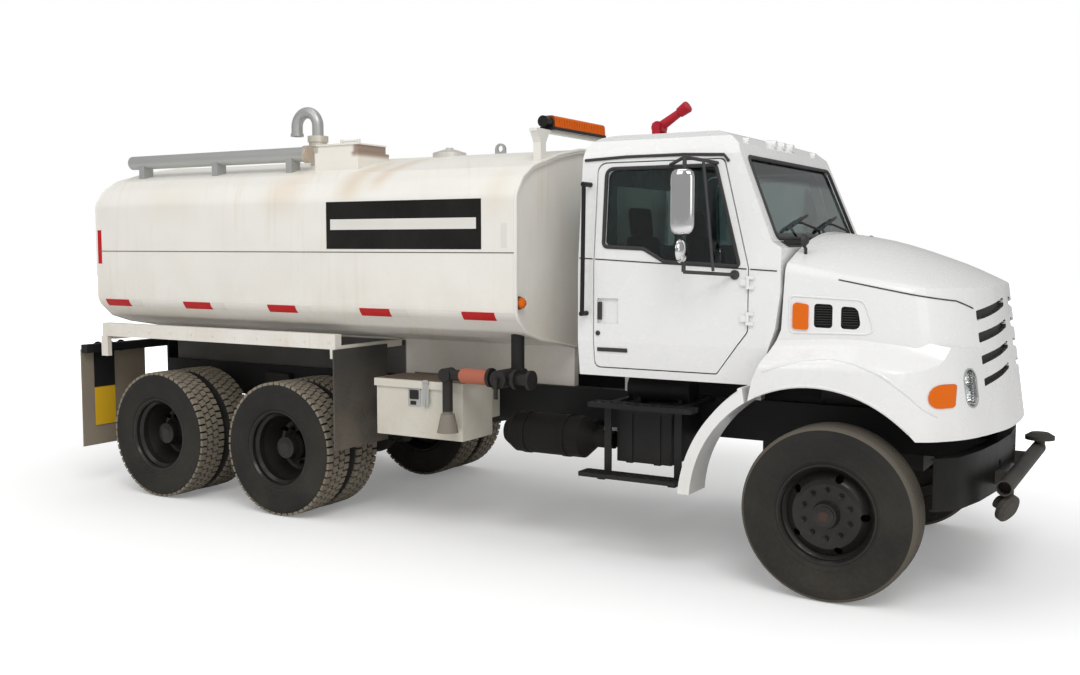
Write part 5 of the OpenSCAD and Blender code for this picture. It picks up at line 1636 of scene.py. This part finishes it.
@dataclass
class TankTrim(Assembly):
    """Seams, reflective tape, panel and lamps on the tank."""

    front: float = -2.080
    rear: float = -6.240
    reds: tuple[tuple[float, float], ...] = ((-6.153, -5.866), (-5.226, -4.922), (-4.313, -4.029),
                                             (-3.413, -3.140), (-2.521, -2.253))
    tape_z: tuple[float, float] = (1.577, 1.634)
    tape: tuple[float, float] = (0.0012, 0.002)
    seam: float = 0.0035
    seam_z: float = 2.035
    weld_x: float = -3.97
    head: tuple[tuple[float, float, float], ...] = (
        (0.390, 1.345, 0.0), (0.900, 1.435, 0.0), (1.090, 1.495, 0.09), (1.220, 1.615, 0.11),
        (1.220, 2.420, 0.11), (1.135, 2.540, 0.09), (1.000, 2.620, 0.0), (0.640, 2.719, 0.0),
        (0.340, 2.771, 0.0), (0.120, 2.785, 0.0))
    head_z: float = 2.065
    inset: float = 0.994
    rim: float = 0.013
    skin: Skin = field(init=False)

    def __post_init__(self) -> None:
        """Reads the tank's surface."""
        self.skin = self.shop.skin("tank")

    def build(self) -> None:
        """Makes the trim of both sides of the tank, and the panel that only the right side has."""
        for side in Side:
            self._seams(side)
            self._tape(side)
        self._panel()
        self._rims()
        self._lamps()

    def _seams(self, side: Side) -> None:
        """Welded seams along and across the side.

        Args:
            side: The truck's side.
        """
        mould = Mould()
        line = [(x, self.seam_z) for x in spread(self.rear + 0.004, self.front - 0.004, 40)]
        mould.rail(self.skin, side.axis, side_view(line), self.seam, False, 0.0, 6)
        self.shop.piece(f"tank_seam_{side.word}", mould, "seam", "chassis", slot="tank_paint")
        weld = Mould()
        line = [(self.weld_x, z) for z in spread(1.53, 2.60, 40)]
        weld.rail(self.skin, side.axis, side_view(line), self.seam, False, -0.0005, 6)
        self.shop.piece(f"tank_weld_{side.word}", weld, "tank_paint", "chassis")

    def _tape(self, side: Side) -> None:
        """Red and pale reflective tape.

        Args:
            side: The truck's side.
        """
        red, pale = Mould(), Mould()
        heights = spread(*self.tape_z, 4)
        for low, high in self.reds:
            red.patch(self.skin, side.axis, from_axle(spread(low, high, 8)), heights, *self.tape)
            if high + 0.16 < self.front:
                places = from_axle(spread(high + 0.003, high + 0.155, 5))
                pale.patch(self.skin, side.axis, places, heights, *self.tape)
        for mould, ends, low, high in ((red, (-6.225, -6.178), 1.93, 2.21),
                                       (pale, (-2.196, -2.150), 2.067, 2.232)):
            mould.patch(self.skin, side.axis, from_axle(ends), spread(low, high, 3), *self.tape)
        self.shop.piece(f"red_tape_{side.word}", red, "red_tape", "chassis", slot="tank_paint")
        self.shop.piece(f"pale_tape_{side.word}", pale, "pale_tape", "chassis", slot="tank_paint")

    def _panel(self) -> None:
        """Blank black panel with a pale band on the right side."""
        plate, band = Mould(), Mould()
        axis = Side.RIGHT.axis
        places, heights = from_axle(spread(-3.706, -2.352, 12)), spread(2.058, 2.398, 6)
        plate.patch(self.skin, axis, places, heights, 0.0020, 0.002)
        places, heights = from_axle(spread(-3.666, -2.392, 12)), spread(2.196, 2.272, 3)
        band.patch(self.skin, axis, places, heights, 0.0032, 0.001)
        self.shop.piece("side_panel_right", plate, "panel_black", "chassis", slot="tank_paint")
        self.shop.piece("side_panel_band_right", band, "pale_tape", "chassis", slot="tank_paint")

    def _rims(self) -> None:
        """Rolled rims round the tank's two heads."""
        mould = Mould()
        outline = dense(rounded(self.head + tuple((-y, z, r) for y, z, r in reversed(self.head))), 0.09)
        for x in (self.front - 0.006, self.rear + 0.006):
            ring = [DATUM.at(x, y * self.inset, self.head_z + (z - self.head_z) * self.inset)
                    for y, z in outline]
            mould.tube(ring, self.rim, 8, True)
        self.shop.piece("tank_rims", mould, "tank_paint", "chassis")

    def _lamps(self) -> None:
        """Round side lamps on the tank's front corners."""
        ahead = Vector((1.0, 0.0, 0.0))
        for side in Side:
            base, lens = Mould(), Mould()
            spot = DATUM.at(self.front - 0.02, side.value * 1.150, 1.700)
            base.lathe([(0.0, 0.018), (0.042, 0.018), (0.046, 0.0), (0.0, -0.004)], spot, ahead, 24)
            dome = [(0.0, 0.052), (0.022, 0.048), (0.036, 0.034), (0.038, 0.018), (0.0, 0.018)]
            lens.lathe(dome, spot, ahead, 24)
            self.shop.piece(f"side_lamp_base_{side.word}", base, "trim_plastic", "chassis")
            self.shop.piece(f"side_lamp_{side.word}", lens, "amber_lens", "chassis")


@dataclass
class SeatPads(Assembly):
    """Two padded seats on their pedestals."""

    place: float = 0.480
    half: float = 0.228

    def build(self) -> None:
        """Makes the pads of both seats as one soft piece, and the pedestals."""
        pads, stand = Mould(), Mould()
        for side in Side:
            y = side.value * self.place
            wide = Vector((0.0, self.half, 0.0))
            pads.pad(DATUM.at(-1.212, y, 1.632), Vector((0.208, 0, 0.006)), wide, 0.092, 0.070,
                     (-0.42, 0.05, 0.50))
            pads.pad(DATUM.at(-1.478, y, 1.922), Vector((-0.024, 0, 0.222)), wide * 0.98, 0.060, 0.046,
                     (-0.45, 0.05, 0.50))
            pads.pad(DATUM.at(-1.516, y, 2.238), Vector((-0.011, 0, 0.098)), wide * 0.62, 0.046, 0.034, ())
            stand.box((-1.440, y - 0.185, 1.284), (-1.060, y + 0.185, 1.360), 0.018)
            stand.box((-1.390, y - 0.150, 1.340), (-1.110, y + 0.150, 1.580), 0.030)
            for x in (y - 0.06, y + 0.06):
                stand.tube([DATUM.at(-1.500, x, 2.100), DATUM.at(-1.515, x, 2.215)], 0.008, 10)
        soft = self.shop.piece("seat_pads", pads, "seat_fabric", "chassis", smooth=60, replaces=["seats"])
        self.shop.piece("seat_stands", stand, "trim_plastic", "chassis")


@dataclass
class WheelTrim(Assembly):
    """Dust shields inside the wheels."""

    outer: float = 0.2535

    def build(self) -> None:
        """Makes the shields of all six wheel sets."""
        for side in Side:
            front = DATUM.at(0, side.value * DATUM.front_y, DATUM.axle_z)
            self._set(f"front_wheel_{side.word}", front, side, -0.040, 0.206)
            for word, x in (("mid", DATUM.mid_axle), ("rear", DATUM.rear_axle)):
                pair = DATUM.at(x, side.value * DATUM.pair_y, DATUM.axle_z)
                self._set(f"{word}_wheels_{side.word}", pair, side, -0.160, 0.200)

    def _set(self, body: str, centre: Vector, side: Side, depth: float, inner: float) -> None:
        """Adds the shield of one wheel set.

        Args:
            body: The wheel set's body.
            centre: Its middle, in the part's frame.
            side: The truck's side that it is on.
            depth: Place of the shield along the axle, outwards from the middle.
            inner: Radius of the shield's hole.
        """
        out = Vector((0.0, side.value, 0.0))
        mould = Mould()
        profile = [(inner, depth - 0.004), (self.outer, depth - 0.004), (self.outer, depth + 0.002),
                   (inner, depth + 0.006)]
        mould.lathe(profile, centre, out, 48, closed=True)
        self.shop.piece(f"dust_shield_{body}", mould, "dark_metal", body)


@dataclass
class SideTrim(Assembly):
    """Latch and hasp of the toolbox, bolts of the fender beams and ribs of the beacon."""

    face: float = -1.100
    beam_face: float = 1.2215
    bolt_z: float = 1.375
    bolt_x: tuple[float, float] = (-6.10, -3.70)
    hasp: tuple[tuple[float, float, float], ...] = (
        (-2.918, 1.130, 0.010), (-2.874, 1.130, 0.010), (-2.866, 0.940, 0.030), (-2.926, 0.940, 0.030))
    rib_x: tuple[float, float] = (-2.188, -2.082)
    rib_y: tuple[float, float] = (-0.66, 0.04)
    rib_z: float = 2.942

    def build(self) -> None:
        """Makes the fittings."""
        self._latch()
        self._hasp()
        self._bolts()
        self._lens_ribs()

    def _latch(self) -> None:
        """Recessed paddle latch on the box's front."""
        plate, paddle = Mould(), Mould()
        plate.box((-3.062, self.face - 0.006, 0.932), (-2.952, self.face + 0.002, 1.068), 0.004)
        paddle.box((-3.046, self.face - 0.013, 0.985), (-2.968, self.face - 0.004, 1.052), 0.005)
        paddle.box((-3.040, self.face - 0.011, 0.944), (-2.990, self.face - 0.004, 0.972), 0.004)
        self.shop.piece("box_latch_plate", plate, "galvanised", "chassis")
        self.shop.piece("box_latch_paddle", paddle, "dark_metal", "chassis")

    def _hasp(self) -> None:
        """Hanging hasp that holds the lid."""
        mould = Mould()
        outline = [DATUM.at(x, self.face - 0.0235, z) for x, z in rounded(self.hasp)]
        mould.prism(outline, Vector((0.0, 0.007, 0.0)))
        mould.tube([DATUM.at(x, self.face - 0.020, 1.112) for x in (-2.922, -2.870)], 0.008, 12)
        self.shop.piece("box_hasp", mould, "galvanised", "toolbox_lid")

    def _bolts(self) -> None:
        """Row of bolt heads along each fender beam."""
        steel = self.shop.paints.materials["dark_metal"]
        row = StudRow()
        for side in Side:
            mould = Mould()
            y = side.value * self.beam_face
            ends = [tuple(DATUM.at(x, y, self.bolt_z)) for x in self.bolt_x]
            heads = row.grow(Count=11, Start=ends[0], End=ends[1], Radius=0.012, Height=0.010, Corners=6,
                             Turn=(math.radians(90), 0.0, 0.0), Material=steel)
            mould.absorb(heads, Matrix.Identity(4))
            self.shop.piece(f"beam_bolts_{side.word}", mould, "tank_paint", "chassis")

    def _lens_ribs(self) -> None:
        """Upright ribs of the beacon's lens."""
        mould = Mould()
        for x in self.rib_x:
            ends = [tuple(DATUM.at(x, y, self.rib_z)) for y in self.rib_y]
            ribs = BladeRow().grow(Count=20, Start=ends[0], End=ends[1], Size=(0.006, 0.008, 0.062),
                                   Turn=(0.0, 0.0, 0.0), Material=self.shop.paints.materials["amber_lens"])
            mould.absorb(ribs, Matrix.Identity(4))
        self.shop.piece("beacon_ribs", mould, "amber_lens", "chassis")


@dataclass
class RearTrim(Assembly):
    """Tail lamps on the rear cross bar."""

    face: float = -6.395
    lamp_z: float = 1.205

    def build(self) -> None:
        """Makes both lamp groups."""
        away = Vector((-1.0, 0.0, 0.0))
        ring = ((0.0, -0.004), (0.050, -0.004), (0.050, 0.006), (0.041, 0.010), (0.0, 0.010))
        dome = ((0.0, 0.024), (0.018, 0.022), (0.034, 0.016), (0.040, 0.008), (0.0, 0.006))
        rubber, red, clear = Mould(), Mould(), Mould()
        for side in Side:
            for y, glass in ((1.120, red), (1.000, red), (0.880, clear)):
                spot = DATUM.at(self.face, side.value * y, self.lamp_z)
                rubber.lathe(ring, spot, away, 28)
                glass.lathe(dome, spot, away, 28)
        self.shop.piece("tail_lamp_rubbers", rubber, "trim_plastic", "chassis")
        self.shop.piece("tail_lamps", red, "tail_red", "chassis", slot="amber_lens")
        self.shop.piece("reverse_lamps", clear, "pale_tape", "chassis", slot="lamp_glass")


@dataclass(frozen=True)
class Lamp:
    """A soft square lamp: its place, what it faces, its width and its power."""

    name: str
    place: Point
    aim: Point
    size: float
    power: float


LAMPS: tuple[Lamp, ...] = (
    Lamp("key", (8.0, -11.0, 14.0), (0.0, 0.0, 1.4), 8.0, 1150.0),
    Lamp("side", (-3.5, -9.0, 9.0), (-2.0, 0.0, 1.4), 6.0, 170.0),
    Lamp("top", (-2.0, -1.0, 12.0), (-2.0, -0.5, 0.0), 6.0, 150.0),
    Lamp("front", (9.0, -6.5, 4.0), (0.0, -1.0, 1.2), 4.0, 55.0),
)


@dataclass
class Studio:
    """Floor, light and the photograph's camera.

    The floor's glow grows from near_glow beside the truck by far_glow away from it. The sky lights the
    truck at sky_level, shows in glossy surfaces at gloss_level and is white to the camera.
    """

    lens: float = 37.70
    eye: Point = (4.618, -7.585, 2.088)
    azimuth: float = 30.483
    look_down: float = 4.685
    floor_half: float = 60.0
    floor_tone: float = 0.86
    near: float = 2.4
    far: float = 7.0
    squeeze: float = 0.62
    near_glow: float = 0.19
    far_glow: float = 0.72
    sky_level: float = 0.62
    gloss_level: float = 0.38

    def build(self) -> None:
        """Makes the camera, the floor, the lamps and the world."""
        self._camera()
        self._floor()
        self._lamps()
        self._world()

    def _camera(self) -> None:
        """Puts the camera where the photograph was taken from."""
        data = bpy.data.cameras.new("photo_camera")
        data.lens = self.lens
        data.sensor_width = 36.0
        camera = bpy.data.objects.new("photo_camera", data)
        around, down = math.radians(self.azimuth), math.radians(self.look_down)
        back = Vector((math.sin(around) * math.cos(down), -math.cos(around) * math.cos(down),
                       math.sin(down)))
        camera.rotation_euler = back.to_track_quat("Z", "Y").to_euler()
        camera.location = self.eye
        bpy.context.collection.objects.link(camera)
        bpy.context.scene.camera = camera

    def _floor(self) -> None:
        """A pale floor that keeps the shadow and is clear from below."""
        bm = bmesh.new()
        bmesh.ops.create_grid(bm, x_segments=1, y_segments=1, size=self.floor_half)
        mesh = bpy.data.meshes.new("floor")
        bm.to_mesh(mesh)
        bm.free()
        floor = bpy.data.objects.new("floor", mesh)
        bpy.context.collection.objects.link(floor)
        material, graph, shader = start_material("studio_floor")
        shader.inputs["Base Color"].default_value = (self.floor_tone,) * 3 + (1.0,)
        shader.inputs["Roughness"].default_value = 0.9
        graph.feed(shader, "Emission Color", (1.0, 1.0, 1.0, 1.0))
        place = graph.add("ShaderNodeSeparateXYZ", Vector=graph.place())
        along = graph.math("MULTIPLY", place.outputs["X"], self.squeeze)
        far = graph.math("ADD", graph.math("POWER", along, 2.0),
                         graph.math("POWER", place.outputs["Y"], 2.0))
        away = graph.ramp(graph.math("SQRT", far), self.near, self.far)
        level = graph.math("ADD", graph.math("MULTIPLY", away, self.far_glow), self.near_glow)
        graph.feed(shader, "Emission Strength", graph.math("MULTIPLY", graph.seen(), level))
        below = graph.add("ShaderNodeMixShader",
                          Fac=graph.add("ShaderNodeNewGeometry").outputs["Backfacing"])
        clear = graph.add("ShaderNodeBsdfTransparent")
        graph.feed(below, 1, shader.outputs["BSDF"])
        graph.feed(below, 2, clear.outputs["BSDF"])
        graph.feed(material.node_tree.nodes["Material Output"], "Surface", below.outputs["Shader"])
        mesh.materials.append(material)

    @staticmethod
    def _lamps() -> None:
        """A soft key in front on the right, and weak fills beside, above and in front."""
        for item in LAMPS:
            data = bpy.data.lights.new(item.name, "AREA")
            data.size = item.size
            data.energy = item.power
            lamp = bpy.data.objects.new(item.name, data)
            lamp.location = item.place
            lamp.rotation_euler = (Vector(item.place) - Vector(item.aim)).to_track_quat("Z", "Y").to_euler()
            bpy.context.collection.objects.link(lamp)

    def _world(self) -> None:
        """Even white light, seen as a white backdrop."""
        world = bpy.data.worlds.new("studio_world")
        bpy.context.scene.world = world
        world.use_nodes = True
        graph = Graph(world.node_tree)
        back = world.node_tree.nodes["Background"]
        glossy = graph.add("ShaderNodeLightPath").outputs["Is Glossy Ray"]
        shine = graph.math("MULTIPLY", glossy, self.gloss_level - self.sky_level)
        back.inputs["Color"].default_value = (1.0, 1.0, 1.0, 1.0)
        level = graph.math("ADD", graph.math("MULTIPLY", graph.seen(), 1.0 - self.sky_level),
                           graph.math("ADD", shine, self.sky_level))
        graph.feed(back, "Strength", level)


def main() -> None:
    """Builds the scene in order and reports each piece."""
    logging.basicConfig(level=logging.INFO, format="%(message)s")
    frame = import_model()
    bpy.context.scene.view_settings.view_transform = "Standard"
    Studio().build()
    paints = Paintbox()
    paints.dress_nodes(frame)
    shop = Workshop(frame, paints)
    for assembly in (Tyres(shop), WheelTrim(shop), CabTrim(shop), SeatPads(shop), HoodTrim(shop),
                     TankTrim(shop), SideTrim(shop), RearTrim(shop)):
        assembly.build()


if __name__ == "__main__":
    main()
